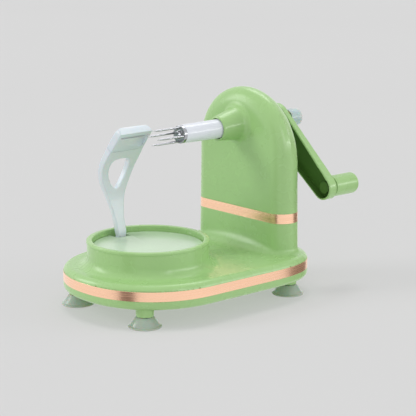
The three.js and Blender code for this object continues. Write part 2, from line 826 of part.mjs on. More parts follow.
// ---------------------------------------------------------------- core ejector
const EJECTOR_DISC = { front: HUB.front - 2.6, rear: HUB.front - 0.4, radius: 3.5 };
const ejector = group(0, 0, FORK_Z);
machine.add(ejector);
piece(
  ejector,
  "ejector_disc",
  turned(
    [
      [0, EJECTOR_DISC.front],
      [EJECTOR_DISC.radius - CHAMFER, EJECTOR_DISC.front],
      [EJECTOR_DISC.radius, EJECTOR_DISC.rear],
      [0, EJECTOR_DISC.rear],
    ],
    ALONG,
    16,
  ),
  STEEL,
);
piece(
  ejector,
  "ejector_rod",
  rod(ROD_RADIUS, HUB.front, KNOB.rear - KNOB.wall - GAP, ALONG),
  STEEL,
);
piece(
  ejector,
  "ejector_knob",
  cut(
    turned(
      [
        [0, KNOB.front],
        [KNOB.radius - 0.6, KNOB.front],
        [KNOB.radius, KNOB.front + 0.8],
        [KNOB.radius, KNOB.rear - 2.6],
        [KNOB.radius - 0.9, KNOB.rear - 0.8],
        [KNOB.radius - 3, KNOB.rear],
        [0, KNOB.rear],
      ],
      ALONG,
      24,
    ),
    rod(KNOB.radius - 2, KNOB.front - OVER, KNOB.rear - KNOB.wall, ALONG),
  ),
  MINT,
);
// Shown pressed, so that it clears the knob at the end of its travel.
const EJECTOR_SPRING = { radius: 3.6, wire: 0.5, length: 10, turns: 4 };
const ejectorSpring = piece(crankshaft, "ejector_spring", coil(EJECTOR_SPRING, ALONG), STEEL);
ejectorSpring.position.x = NUT.end + EJECTOR_SPRING.wire + 0.4;

// ---------------------------------------------------------------- vertical drive
const vertical = group(SHAFT_X, 0, 0);
machine.add(vertical);
const SHAFT_TOP = FORK_Z - MITRE.radius + MITRE.face - CHAMFER;
piece(vertical, "vertical_shaft", rod(VERTICAL_RADIUS, PIN.bottom + 0.2, SHAFT_TOP, UP), STEEL);
const MITRE_PITCH = (2 * Math.PI) / MITRE.teeth;
piece(
  vertical,
  "driven_mitre_gear",
  join(
    mitreGear(MITRE_PITCH / 2, VERTICAL_BORE),
    mitreHub(VERTICAL_BORE, MITRE_HUB_LENGTH.driven),
  ),
  NYLON,
).position.z = FORK_Z;
piece(
  vertical,
  "drive_pinion",
  join(
    spurGear(PINION_TEETH, 0, LOW_GEAR, VERTICAL_BORE),
    ring(VERTICAL_BORE, 6, LOW_GEAR.bottom + LOW_GEAR.height - 0.2, COMPOUND_PINION.top, UP),
  ),
  NYLON,
);

const COMPOUND_BORE = PIN.compoundRadius + GAP;
const HALF_TOOTH = Math.PI / WHEEL_TEETH;
const POCKET = { inner: 14, outer: 38, depth: 1.2 };
const compoundPinion = {
  bottom: COMPOUND_PINION.bottom,
  height: COMPOUND_PINION.top - COMPOUND_PINION.bottom,
};
piece(
  machine,
  "compound_gear",
  join(
    pocketed(spurGear(WHEEL_TEETH, HALF_TOOTH, LOW_GEAR, COMPOUND_BORE), LOW_GEAR, POCKET),
    spurGear(PINION_TEETH, 0, compoundPinion, COMPOUND_BORE),
  ),
  NYLON,
).position.x = COMPOUND_X;

// ---------------------------------------------------------------- turntable
const TABLE_BORE = PIN.tableRadius + GAP;
const turntable = group(TABLE_X, 0, 0);
machine.add(turntable);
piece(
  turntable,
  "turntable_gear",
  pocketed(spurGear(WHEEL_TEETH, HALF_TOOTH, HIGH_GEAR, TABLE_BORE), HIGH_GEAR, POCKET),
  NYLON,
);

const PLATE_HUB_RADIUS = 9;
const SLOT = { halfWidth: 7, inner: 34.2, outer: 60 };
const LUG = { near: 4.1, far: 9.5, halfLength: 3.4, bottom: 46 };
const SPRING_POCKET = { radius: 3.3, near: 9.7, far: 16.5 };
const PIN_HOLE = { near: -12, far: 16 };
function turntablePlate() {
  const { radius, top, thickness } = PLATE;
  const under = top - thickness;
  const disc = turned(
    [[0, under], [radius, under], [radius, top - 0.6], [radius - 0.6, top], [0, top]],
    UP,
    40,
  );
  const hubBottom = HIGH_GEAR.bottom + HIGH_GEAR.height + GAP;
  const hub = rod(PLATE_HUB_RADIUS, hubBottom, under + 0.5, UP, 20);
  const lug = (side) => {
    const near = ARM.x + side * LUG.near;
    const far = ARM.x + side * LUG.far;
    const low = ARM.pivotY - LUG.halfLength;
    const high = ARM.pivotY + LUG.halfLength;
    return block(Math.min(near, far), Math.max(near, far), low, high, LUG.bottom, under + 0.5);
  };
  const slot = block(
    ARM.x - SLOT.halfWidth,
    ARM.x + SLOT.halfWidth,
    SLOT.inner,
    SLOT.outer,
    under - GAP,
    top + OVER,
  );
  const pinHole = rod(ARM.pinRadius + GAP, PIN_HOLE.near, PIN_HOLE.far, ALONG, 12);
  const springPocket = rod(
    SPRING_POCKET.radius,
    ARM.x + SPRING_POCKET.near,
    ARM.x + SPRING_POCKET.far,
    ALONG,
  );
  return cut(
    join(cut(disc, slot), hub, lug(-1), lug(1)),
    rod(TABLE_BORE, hubBottom - OVER, PIN.tableTop + OVER, UP),
    join(pinHole, springPocket).translate([0, ARM.pivotY, ARM.pivotZ]),
  );
}
piece(turntable, "turntable_plate", turntablePlate(), GREEN);

const PIN_REACH = { near: -10, far: 15.5 };
piece(
  turntable,
  "arm_pivot_pin",
  rod(ARM.pinRadius, ARM.x + PIN_REACH.near, ARM.x + PIN_REACH.far, ALONG),
  STEEL,
).position.set(0, ARM.pivotY, ARM.pivotZ);
const ARM_SPRING = { radius: 2.4, wire: 0.45, length: 3.6, turns: 3 };
const armSpring = piece(turntable, "arm_spring", coil(ARM_SPRING, ALONG), STEEL);
armSpring.position.set(ARM.x + LUG.far + 0.9, ARM.pivotY, ARM.pivotZ);

// ---------------------------------------------------------------- peeling arm
// Side view, [y, z] from the foot up: the face towards the fruit, then the back from the head down.
const ARM_FACE = [
  [37.1, 46],
  [36.6, 57],
  [41.2, 73],
  [45.2, 92],
  [42.6, 111],
  [31.8, 128],
  [15.6, 148.1],
];
const ARM_BACK = [
  [21.5, 153],
  [34.9, 136],
  [48.2, 113],
  [51, 94],
  [46.2, 73],
  [43.2, 58.5],
  [43.2, 47],
];
// Front view, [half width, z].
const ARM_EDGE = [
  [3.7, 45],
  [3.7, 54],
  [4.6, 60],
  [5.5, 74],
  [9.6, 90],
  [15.3, 104],
  [18.4, 119],
  [17.6, 136],
  [17.4, 155],
];
const ARM_WINDOW = [
  [4.6, 99],
  [8.8, 107],
  [10.2, 115.5],
  [8.2, 121.4],
];
const WINDOW_ENDS = { bottom: 95.4, top: 123 };

// The head leans over the fork: frame of the cut between the arm and the blade carrier.
const HEAD = {
  y: 29.5,
  z: 131,
  lean: Math.atan2(13.1, 16.2),
  slit: 16.6, // height of the blade above the seam
  slitWidth: 1.8,
  slitHalf: 14.5,
};
const BLADE = { front: -0.5, back: 6.4, half: 13.9, thickness: 0.8 };
const BEYOND = 80; // larger than the arm in every direction

const vectors = (points, sign = 1) => points.map(([x, y]) => new THREE.Vector2(sign * x, y));

function armBand() {
  const [footFace, ...face] = vectors(ARM_FACE);
  const [headBack, ...back] = vectors(ARM_BACK);
  const side = new THREE.Shape();
  side.moveTo(footFace.x, footFace.y).splineThru(face);
  side.lineTo(headBack.x, headBack.y).splineThru(back);
  const [footEdge, ...edge] = vectors(ARM_EDGE);
  const mirrored = vectors(ARM_EDGE, -1).reverse();
  const front = new THREE.Shape();
  front.moveTo(footEdge.x, footEdge.y).splineThru(edge);
  front.lineTo(mirrored[0].x, mirrored[0].y).splineThru(mirrored.slice(1));
  const window = new THREE.Path();
  window.moveTo(0, WINDOW_ENDS.bottom).splineThru([
    ...vectors(ARM_WINDOW),
    new THREE.Vector2(0, WINDOW_ENDS.top),
    ...vectors(ARM_WINDOW, -1).reverse(),
    new THREE.Vector2(0, WINDOW_ENDS.bottom),
  ]);
  front.holes.push(window);
  const wide = raisedAlongX(side, -BEYOND, BEYOND, { curveSegments: 3 });
  // Drawn in X-Z and raised along Y.
  const elevation = raisedGeometry(front, -BEYOND, BEYOND, { curveSegments: 3 });
  const tall = solid(elevation.rotateX(Math.PI / 2));
  const half = ARM.knuckleHalf;
  const knuckle = rod(ARM.knuckle, -half, half, ALONG);
  const bore = rod(ARM.pinRadius + GAP, -half - OVER, half + OVER, ALONG);
  const atPivot = (body) => body.translate([0, ARM.pivotY, ARM.pivotZ]);
  return cut(join(wide.intersect(tall), atPivot(knuckle)), atPivot(bore)).translate([ARM.x, 0, 0]);
}

// Places a solid built in the head's own frame: +Z along the band towards the head's end.
const inHead = (body) =>
  body.rotate([THREE.MathUtils.radToDeg(HEAD.lean), 0, 0]).translate([ARM.x, HEAD.y, HEAD.z]);

const headSpace = (from) => inHead(block(-BEYOND, BEYOND, -BEYOND, BEYOND, from, BEYOND));
const bladeSlit = inHead(
  block(
    -HEAD.slitHalf,
    HEAD.slitHalf,
    -BEYOND,
    BEYOND,
    HEAD.slit - HEAD.slitWidth / 2,
    HEAD.slit + HEAD.slitWidth / 2,
  ),
);
const arm = armBand();
piece(turntable, "peeling_arm", cut(arm, headSpace(-GAP / 2)), MINT);
piece(turntable, "blade_carrier", cut(arm.intersect(headSpace(GAP / 2)), bladeSlit), MINT);
piece(
  turntable,
  "peeler_blade",
  inHead(
    block(
      -BLADE.half,
      BLADE.half,
      BLADE.front,
      BLADE.back,
      HEAD.slit - BLADE.thickness / 2,
      HEAD.slit + BLADE.thickness / 2,
    ),
  ),
  STEEL,
);

export default machine;
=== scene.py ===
"""A hand-cranked apple peeler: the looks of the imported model, built around its fixed frame.

Shapes are worked out in millimetres in the row frame and become meshes in metres. Moulded pieces
are distance fields turned into meshes, turned pieces are lathed, and bands and springs are swept.
"""
import json
import math

import bmesh
import bpy
import numpy as np
from mathutils import Matrix, Vector

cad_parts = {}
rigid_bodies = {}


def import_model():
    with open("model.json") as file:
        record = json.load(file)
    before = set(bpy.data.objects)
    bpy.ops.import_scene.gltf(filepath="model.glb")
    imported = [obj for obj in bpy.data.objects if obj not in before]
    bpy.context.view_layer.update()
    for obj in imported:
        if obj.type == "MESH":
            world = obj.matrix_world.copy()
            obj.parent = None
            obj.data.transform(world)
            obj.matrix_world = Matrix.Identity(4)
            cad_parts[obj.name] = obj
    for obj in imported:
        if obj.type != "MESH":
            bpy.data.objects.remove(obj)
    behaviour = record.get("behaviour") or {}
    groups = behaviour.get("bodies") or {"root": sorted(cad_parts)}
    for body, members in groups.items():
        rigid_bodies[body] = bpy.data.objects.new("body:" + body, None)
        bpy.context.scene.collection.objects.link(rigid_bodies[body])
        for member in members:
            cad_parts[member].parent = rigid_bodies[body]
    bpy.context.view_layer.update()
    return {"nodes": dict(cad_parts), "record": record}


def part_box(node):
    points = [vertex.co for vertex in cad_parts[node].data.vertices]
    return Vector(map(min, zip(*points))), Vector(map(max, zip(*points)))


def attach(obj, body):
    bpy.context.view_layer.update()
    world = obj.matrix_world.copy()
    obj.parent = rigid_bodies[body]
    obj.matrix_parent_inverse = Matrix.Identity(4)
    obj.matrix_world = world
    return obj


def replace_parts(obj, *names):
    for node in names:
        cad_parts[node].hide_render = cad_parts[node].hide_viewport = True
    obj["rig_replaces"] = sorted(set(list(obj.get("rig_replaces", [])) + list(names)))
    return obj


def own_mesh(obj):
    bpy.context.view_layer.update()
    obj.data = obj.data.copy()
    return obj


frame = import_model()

MM = 0.001


# ------------------------------------------------------------------ sizes, from the frame
def box(node):
    """Lowest and highest corner of a CAD node at rest, in millimetres."""
    return [np.array(corner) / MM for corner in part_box(node)]


def middle(node):
    low, high = box(node)
    return (low + high) / 2


BASE_LOW, BASE_HIGH = box("base_trim_band")
COLUMN_LOW, COLUMN_HIGH = box("column_trim_band")
HOUSING_LOW, HOUSING_HIGH = box("upper_housing")
PLATE_LOW, PLATE_HIGH = box("turntable_plate")
SLEEVE_LOW, SLEEVE_HIGH = box("spindle_sleeve")
HUB_LOW, HUB_HIGH = box("fork_hub")
NUT_LOW, NUT_HIGH = box("lever_nut")
KNOB_LOW, KNOB_HIGH = box("ejector_knob")
GRIP_LOW, GRIP_HIGH = box("crank_grip")
WASHER_LOW, WASHER_HIGH = box("grip_washer")
COVER_LOW, COVER_HIGH = box("rear_cover")
FLOOR_PLATE_LOW, FLOOR_PLATE_HIGH = box("base_plate")
CUP_LOW, CUP_HIGH = box("suction_cup_front_left")
LEVER_LOW, LEVER_HIGH = box("crank_lever")

FORK_Z = middle("main_shaft")[2]
TABLE_X = middle("turntable_axle")[0]
SHAFT_X = middle("vertical_shaft")[0]
COMPOUND_X = middle("compound_gear_pin")[0]
COLUMN_FRONT, COLUMN_REAR = COLUMN_LOW[0], COLUMN_HIGH[0]
COLUMN_MID = (COLUMN_FRONT + COLUMN_REAR) / 2
COLUMN_HALF = (COLUMN_REAR - COLUMN_FRONT) / 2
GRIP_AXIS = middle("crank_grip")
ARM_X = middle("peeler_blade")[0]
PIVOT = middle("arm_pivot_pin")

WALL = 3
BASE = {
    "bottom": HOUSING_LOW[2],
    "top": 37,
    "half": BASE_HIGH[1],
    "nose": 76,  # length of the front end curve
    "nose_power": 2.17,
    "tail": 75.5,
    "tail_power": 3,
    "edge": 6,
    "lower_edge": 4.5,
}
TURRET = {"radius": 52, "bore": 47.5, "top": 59.4, "fillet": 9, "lip": 2.7, "lip_proud": 0.45}
COLUMN = {"foot": 21.2, "low": 57.6, "high": 55.6, "arch": 122.8, "fillet": 5, "front_fillet": 9}
# The arch's rounded edge runs forward of the middle as it rises, and is flatter behind.
ARCH_EDGE = {"start": 118, "end": 168, "lead": 4, "flattest": 143, "flatness": 2.4}
SNOUT = {
    "tip": SLEEVE_HIGH[0] - 4,
    "radius": 10.6,
    "slope": 0.18,
    "rise": 0.11,
    "fillet": 4.5,
    "bore": 9.2,
    "seat": SLEEVE_HIGH[0] + 1.4,
}
GROOVE = 1.3
LAP = 0.08  # how far a band laps over each edge of its groove
COVER = {"inset": 15, "thickness": 2.6, "bottom": 84, "fillet": 4, "edge": 0.8}
LEVER = {
    "open": LEVER_LOW[0],
    "back": NUT_LOW[0] - 0.3,
    "set_back": 3.4,  # how much shallower the walls are at the shaft end
    "length": 82,
    "top": 15,
    "low": 10.7,
    "wall": 1.4,
    "hub": 8,
    "socket": 5.4,
    "boss": 9.3,
}
LEVER_ANGLE = math.atan2(-GRIP_AXIS[1], FORK_Z - GRIP_AXIS[2])
SHAFT_BORE = 4.3
AXLE_BORE = 3.3
SCREW_HOLE = 1.8
SCREW_HEAD = 3.4  # radius of the recess round a screw's head
FLOOR_PLATE = {"inset": 6.8, "bottom": 17.3, "top": 19.8, "cup_boss": 7.5, "draft": 0.04}
# The shelf in the column that holds the vertical shaft's upper bush.
SHELF = {"half": 44, "bottom": 116, "top": 121, "bore": 4.7}
SCREW_BOSS = {"radius": 4.6, "bottom": 20.2}
LEDGE = 2.9  # what the rear cover rests on, all round its doorway
BASE_WALL = 6.4  # from the base's outline to its hollow
COLUMN_WALL = 10
BUSH_SEAT = 7.8
CUP_STEM = 3.9

CUPS = ["front_left", "front_right", "rear_left", "rear_right"]
BASE_SCREWS = [f"base_screw_{i}" for i in range(1, 5)]
COVER_SCREWS = [f"cover_screw_{i}" for i in range(1, 5)]
PRONGS = [f"fork_prong_{i}" for i in range(1, 5)]


# ------------------------------------------------------------------ distance fields
def union(a, b, radius=0.0):
    """Joins two fields, with a hollow fillet of that radius between them."""
    reach = np.hypot(np.maximum(radius - a, 0), np.maximum(radius - b, 0))
    return np.maximum(radius, np.minimum(a, b)) - reach


def common(a, b, radius=0.0):
    """What two fields share, with its edge rounded."""
    if not radius:
        return np.maximum(a, b)
    reach = np.hypot(np.maximum(radius + a, 0), np.maximum(radius + b, 0))
    return np.minimum(-radius, np.maximum(a, b)) + reach


def less(a, b, radius=0.0):
    return common(a, -b, radius)


def span(value, low, high):
    """Distance outside a stretch of one axis."""
    return np.maximum(low - value, value - high)


def away(a, b, at_a=0.0, at_b=0.0):
    """Distance from an axis, seen along it."""
    return np.hypot(a - at_a, b - at_b)


def base_plan(x, y):
    """Distance outside the base's plan: two superellipse ends and straight sides."""
    nose_x = BASE_LOW[0] + BASE["nose"]
    tail_x = BASE_HIGH[0] - BASE["tail"]
    power = np.where(x > tail_x, BASE["tail_power"], BASE["nose_power"])
    length = np.where(x > tail_x, BASE["tail"], BASE["nose"])
    u = np.maximum(np.maximum(x - tail_x, nose_x - x), 0) / length
    v = np.abs(y) / BASE["half"]
    size = np.maximum((u**power + v**power) ** (1 / power), 1e-3)
    slope = np.hypot((u / size) ** (power - 1) / length, (v / size) ** (power - 1) / BASE["half"])
    return (size - 1) / slope


def column_width(z):
    share = np.clip((z - COLUMN["foot"]) / (COLUMN["arch"] - COLUMN["foot"]), 0, 1)
    return COLUMN["low"] + share * (COLUMN["high"] - COLUMN["low"])


def column_arch(y, z):
    """Distance outside the column's elevation: straight sides under a round arch."""
    above = np.maximum(z - COLUMN["arch"], 0)
    return np.hypot(y, above) - column_width(z)


def column_section(x, y, z):
    """Distance outside the column, with its half-round sides."""
    start, end, flattest = ARCH_EDGE["start"], ARCH_EDGE["end"], ARCH_EDGE["flattest"]
    across = np.clip((x - COLUMN_MID) / COLUMN_HALF, -1, 1)
    x = x + ARCH_EDGE["lead"] * np.clip((z - start) / (end - start), 0, 1) * (1 - across**2)
    flat = np.minimum((z - start) / (flattest - start), (end - z) / (end - flattest))
    behind = np.clip((x - COLUMN_MID) / COLUMN_HALF, 0, 1)
    inset = ARCH_EDGE["flatness"] * np.clip(flat, 0, 1) * 4 * behind * (1 - behind)
    arch = column_arch(y, z) + inset
    return common(arch, np.abs(x - COLUMN_MID) - COLUMN_HALF, COLUMN_HALF - 0.05)


def snout_radius(x):
    return SNOUT["radius"] + SNOUT["slope"] * (x - SNOUT["tip"])


def housing_field(p):
    x, y, z = p.T
    base = common(base_plan(x, y), z - BASE["top"], BASE["edge"])
    base = common(base, BASE["bottom"] - z, BASE["lower_edge"])
    column = np.maximum(column_section(x, y, z), BASE["bottom"] + 5 - z)
    from_fork = away(y, z, 0, FORK_Z)
    snout_z = FORK_Z + SNOUT["rise"] * (x - SNOUT["tip"])
    snout = common(away(y, z, 0, snout_z) - snout_radius(x), SNOUT["tip"] - x, 0.6)
    snout = np.maximum(snout, x - COLUMN_MID)
    column = union(column, snout, SNOUT["fillet"])
    from_table = away(x, y, TABLE_X)
    turret = np.maximum(from_table - TURRET["radius"], z - (TURRET["top"] - TURRET["lip"]))
    turret = np.maximum(turret, BASE["bottom"] + 5 - z)
    fillet = COLUMN["fillet"] + COLUMN["front_fillet"] * np.clip(1 - (y / 50) ** 2, 0, 1)
    skin = union(union(base, turret, TURRET["fillet"]), column, fillet)

    cover_inner = COLUMN_REAR - COVER["thickness"]
    base_hollow = np.maximum(base_plan(x, y) + BASE_WALL, z - (BASE["top"] - WALL))
    column_hollow = np.maximum(
        column_arch(y, z) + COLUMN_WALL, span(x, COLUMN_FRONT + WALL, cover_inner - WALL)
    )
    seat = column_arch(y, z) + COVER["inset"]
    doorway = np.maximum(seat + LEDGE, COLUMN_MID - x)
    recess = np.maximum(np.maximum(seat, COVER["bottom"] - z), cover_inner - 0.3 - x)
    solid = skin
    hollows = [
        base_hollow, column_hollow,
        np.maximum(doorway, COVER["bottom"] + LEDGE - z),
        recess,
        np.maximum(from_table - TURRET["bore"], BASE["top"] - WALL - 1 - z),
        np.maximum(from_fork - SNOUT["bore"], x - SNOUT["seat"]),
        np.maximum(from_fork - BUSH_SEAT, span(x, SNOUT["seat"] - 1, COLUMN_MID)),
    ]
    for hollow in hollows:
        solid = less(solid, hollow)
    shelf = np.maximum(np.abs(y) - SHELF["half"], span(z, SHELF["bottom"], SHELF["top"]))
    shelf = np.maximum(shelf, span(x, COLUMN_FRONT + 1, cover_inner - 1))
    solid = union(solid, less(shelf, away(x, y, SHAFT_X) - SHELF["bore"]))
    for node in BASE_SCREWS:
        at = middle(node)
        boss = away(x, y, at[0], at[1]) - SCREW_BOSS["radius"]
        boss = np.maximum(boss, span(z, SCREW_BOSS["bottom"], BASE["top"] - 1))
        solid = union(solid, boss)
    grooves = [
        np.maximum(
            -(base_plan(x, y) + GROOVE), span(z, BASE_LOW[2] + LAP, BASE_HIGH[2] - LAP)
        ),
        np.maximum(
            -(column_section(x, y, z) + GROOVE),
            span(z, COLUMN_LOW[2] + LAP, COLUMN_HIGH[2] - LAP),
        ),
    ]
    # A groove only reaches in from its own outer face, so the turret and column stay whole.
    solid = less(solid, grooves[0])
    return less(solid, grooves[1])


def cover_field(p):
    x, y, z = p.T
    inset = COVER["inset"] + 0.3
    sheet = common(column_arch(y, z) + inset, COVER["bottom"] + 0.3 - z, 1.5)
    sheet = common(sheet, x - COLUMN_REAR, COVER["edge"])
    sheet = np.maximum(sheet, COVER_LOW[0] - x)
    from_fork = away(y, z, 0, FORK_Z)
    boss = common(from_fork - 9.5, x - COVER_HIGH[0], 1.2)
    solid = union(sheet, np.maximum(boss, COVER_LOW[0] - x), COVER["fillet"])
    solid = less(solid, from_fork - 6.9)
    for node in COVER_SCREWS:
        at = middle(node)
        from_screw = away(y, z, at[1], at[2])
        solid = less(solid, from_screw - SCREW_HOLE)
        solid = less(solid, np.maximum(from_screw - SCREW_HEAD, COLUMN_REAR - 1.2 - x))
    return solid


def floor_plate_field(p):
    x, y, z = p.T
    slab_span = span(z, FLOOR_PLATE["bottom"], FLOOR_PLATE["top"])
    solid = common(base_plan(x, y) + FLOOR_PLATE["inset"], slab_span, 0.4)
    for name in CUPS:
        at = middle(f"suction_cup_{name}")
        taper = (z - FLOOR_PLATE_LOW[2]) * FLOOR_PLATE["draft"]
        from_cup = away(x, y, at[0], at[1])
        boss = from_cup - FLOOR_PLATE["cup_boss"] - taper
        boss = common(boss, span(z, FLOOR_PLATE_LOW[2], 19), 0.5)
        solid = union(solid, boss, 1.5)
        solid = less(solid, from_cup - CUP_STEM)
    for at_x, radius, bore in [(SHAFT_X, 7, 4.6), (COMPOUND_X, 6.5, AXLE_BORE), (TABLE_X, 8, 4.3)]:
        from_pin = away(x, y, at_x)
        solid = union(solid, np.maximum(from_pin - radius, span(z, 11.5, 21.1)), 1)
        solid = less(solid, np.maximum(from_pin - bore, 13.5 - z))
    for node in BASE_SCREWS:
        at = middle(node)
        from_screw = away(x, y, at[0], at[1])
        solid = less(solid, from_screw - SCREW_HOLE)
        solid = less(solid, np.maximum(from_screw - SCREW_HEAD, z - 18.5))
    return solid


def lever_plan(across, down, inset=0.0):
    """Distance outside the lever's outline: two round ends and their common tangents."""
    top, low, length = LEVER["top"], LEVER["low"], LEVER["length"]
    lean = (top - low) / length
    cosine = math.sqrt(1 - lean * lean)
    across = np.abs(across)
    along = -lean * across + cosine * down
    side = across * cosine + down * lean - top
    distance = np.where(
        along < 0, np.hypot(across, down) - top,
        np.where(along > cosine * length, np.hypot(across, down - length) - low, side),
    )
    return distance + inset


def lever_field(p):
    """The lever in its own frame: X as the row's, the grip straight down from the shaft."""
    x, across, z = p.T
    down = -z
    set_back = LEVER["set_back"] * (1 - down / LEVER["length"])
    shell = common(
        lever_plan(across, down), span(x, LEVER["open"] + np.clip(set_back, 0, 4), LEVER["back"]), 0.9
    )
    trough = np.maximum(
        lever_plan(across, down, LEVER["wall"]), x - (LEVER["back"] - LEVER["wall"])
    )
    solid = less(shell, trough)
    from_shaft = away(across, down)
    from_grip = away(across, down, 0, LEVER["length"])
    hub = common(from_shaft - LEVER["hub"], LEVER["open"] + 1 - x, 0.5)
    solid = union(solid, np.maximum(hub, x - LEVER["back"] + 0.5), 0.8)
    socket = common(from_grip - LEVER["socket"], LEVER["open"] + 3 - x, 0.5)
    solid = union(solid, np.maximum(socket, x - LEVER["back"] + 0.5), 0.8)
    boss = common(from_grip - LEVER["boss"], x - LEVER_HIGH[0], 0.5)
    solid = union(solid, np.maximum(boss, LEVER["back"] - 1 - x), 0.8)
    solid = less(solid, from_shaft - SHAFT_BORE)
    return less(solid, np.maximum(from_grip - AXLE_BORE, LEVER["open"] + 5 - x))


# ------------------------------------------------------------------ the peeling arm's fields
# Side view, [y, z]: the face towards the fruit from the foot up, then the back from the head down.
ARM_FACE = [
    (37.1, 46), (36.6, 57), (41.2, 73), (45.2, 92), (42.6, 111), (31.8, 128), (15.6, 148.1),
]
ARM_BACK = [
    (21.5, 153), (34.9, 136), (48.2, 113), (51, 94), (46.2, 73), (43.2, 58.5), (43.2, 47),
]
# Front view, [half width, z].
ARM_EDGE = [
    (3.7, 45), (3.7, 54), (4.6, 60), (5.5, 74), (9.6, 90), (15.3, 104), (18.4, 119), (17.6, 136),
    (17.4, 147.6), (16.2, 151.2), (13.2, 153.2),
]
ARM_WINDOW = [(0, 95.4), (4.6, 99), (8.8, 107), (10.2, 115.5), (8.2, 121.4), (0, 123)]
HEAD = {"y": 29.5, "z": 131, "lean": math.atan2(13.1, 16.2), "slit": 16.6, "gap": 0.42}
SEAM_STEP = {"start": 11, "end": 18.5, "height": 11}
# The hollow under the slit deepens towards the far end.
SCOOP = {"radius": 10.5, "below": 6.5, "start": 6, "run": 20, "depth": 3}


def spline(points, steps=8, closed=False):
    """Points of a Catmull-Rom curve through a few."""
    p = np.array(points, float)
    ends = (p[-1:], p[:1], p[1:2]) if closed else (2 * p[:1] - p[1:2], 2 * p[-1:] - p[-2:-1])
    p = np.concatenate([ends[0], p, *ends[1:]])
    t = np.linspace(0, 1, steps, endpoint=False)[:, None]
    runs = []
    for a, b, c, d in zip(p, p[1:], p[2:], p[3:]):
        bend = (2 * a - 5 * b + 4 * c - d) * t**2 + (3 * b - a - 3 * c + d) * t**3
        runs.append((2 * b + (c - a) * t + bend) / 2)
    return np.concatenate(runs if closed else [*runs, p[-2:-1]])


def mirrored(points):
    """A right-hand outline followed by its mirror image, as one closed loop."""
    return np.concatenate([points, (points * (-1, 1))[::-1]])


ARM_SIDE = np.concatenate([spline(ARM_FACE), spline(ARM_BACK)])
ARM_FRONT = mirrored(spline(ARM_EDGE))
WINDOW_HALF = np.array(ARM_WINDOW, float)
ARM_HOLE = spline(
    np.concatenate([WINDOW_HALF, (WINDOW_HALF[1:-1] * (-1, 1))[::-1]]), closed=True
)


def outline_field(u, v, outline):
    """Distance outside a closed outline."""
    best = np.full(u.shape, np.inf)
    inside = np.zeros(u.shape, bool)
    for (ax, ay), (bx, by) in zip(outline, np.roll(outline, -1, axis=0)):
        dx, dy = bx - ax, by - ay
        length2 = dx * dx + dy * dy
        if length2 < 1e-12:
            continue
        t = np.clip(((u - ax) * dx + (v - ay) * dy) / length2, 0, 1)
        best = np.minimum(best, (u - ax - t * dx) ** 2 + (v - ay - t * dy) ** 2)
        if ay != by:
            inside ^= ((ay > v) != (by > v)) & (u < dx * (v - ay) / (by - ay) + ax)
    return np.where(inside, -1, 1) * np.sqrt(best)


def head_frame(y, z):
    """Place across the band (towards its back) and along it, from the seam's middle."""
    cosine, sine = math.cos(HEAD["lean"]), math.sin(HEAD["lean"])
    y, z = y - HEAD["y"], z - HEAD["z"]
    return y * cosine + z * sine, -y * sine + z * cosine


def arm_field(p):
    """The whole arm, foot to head, before it's parted at the seam."""
    x, y, z = p.T
    x = x - ARM_X
    window = outline_field(x, z, ARM_HOLE)
    front = less(outline_field(x, z, ARM_FRONT), window)
    solid = common(outline_field(y, z, ARM_SIDE), front, 1.1)
    from_pivot = away(y, z, PIVOT[1], PIVOT[2])
    knuckle = common(from_pivot - 3.9, np.abs(x) - 3.7, 0.4)
    solid = union(solid, knuckle, 0.5)
    return less(solid, from_pivot - 1.8)


def seam_height(x):
    """Height of the seam along the band: level, then climbing to the far edge."""
    share = np.clip((x - SEAM_STEP["start"]) / (SEAM_STEP["end"] - SEAM_STEP["start"]), 0, 1)
    return SEAM_STEP["height"] * share**1.5


def lower_arm_field(p):
    _, along = head_frame(p[:, 1], p[:, 2])
    seam = seam_height(p[:, 0] - ARM_X)
    return np.maximum(arm_field(p), along - seam + HEAD["gap"] / 2)


def carrier_field(p):
    x = p[:, 0] - ARM_X
    across, along = head_frame(p[:, 1], p[:, 2])
    solid = np.maximum(arm_field(p), HEAD["gap"] / 2 + seam_height(x) - along)
    slit = np.maximum(np.abs(along - HEAD["slit"]) - 0.95, np.abs(x) - 14.5)
    depth = SCOOP["depth"] * np.clip((x + SCOOP["start"]) / SCOOP["run"], 0, 1)
    centre = depth - SCOOP["radius"]
    scoop = away(across, along, centre, HEAD["slit"] - SCOOP["below"]) - SCOOP["radius"]
    solid = less(solid, np.maximum(scoop, np.abs(x) - 15.2), 0.3)
    return less(solid, slit)


# ------------------------------------------------------------------ from fields to meshes
def sampled(field, low, count, cell, block=4):
    """Distances on a grid. Away from the surface, one in each block stands for all of it."""
    blocks = [n // block for n in count]
    centre = [low[i] + cell * (block * np.arange(blocks[i]) + (block - 1) / 2) for i in range(3)]
    coarse_points = np.stack(np.meshgrid(*centre, indexing="ij"), -1).reshape(-1, 3)
    coarse = field(coarse_points).reshape(blocks)
    reach = cell * (block * 1.3 + 1)
    near = np.abs(coarse) < reach
    grid, wanted = coarse, near
    for axis in range(3):
        grid = np.repeat(grid, block, axis)
        wanted = np.repeat(wanted, block, axis)
    where = np.argwhere(wanted)
    grid[wanted] = field(low + cell * where)
    return grid


def crossings(field, start, step, at_start, at_end):
    """Where the surface cuts grid edges: false position, then two corrections."""
    low, high = np.zeros(len(start)), np.ones(len(start))
    for _ in range(3):
        share = np.clip(at_start / (at_start - at_end), 0.02, 0.98)
        t = low + share * (high - low)
        value = field(start + t[:, None] * step)
        same = (value < 0) == (at_start < 0)
        low, at_start = np.where(same, t, low), np.where(same, value, at_start)
        high, at_end = np.where(same, high, t), np.where(same, at_end, value)
    share = np.clip(at_start / (at_start - at_end), 0, 1)
    return start + (low + share * (high - low))[:, None] * step


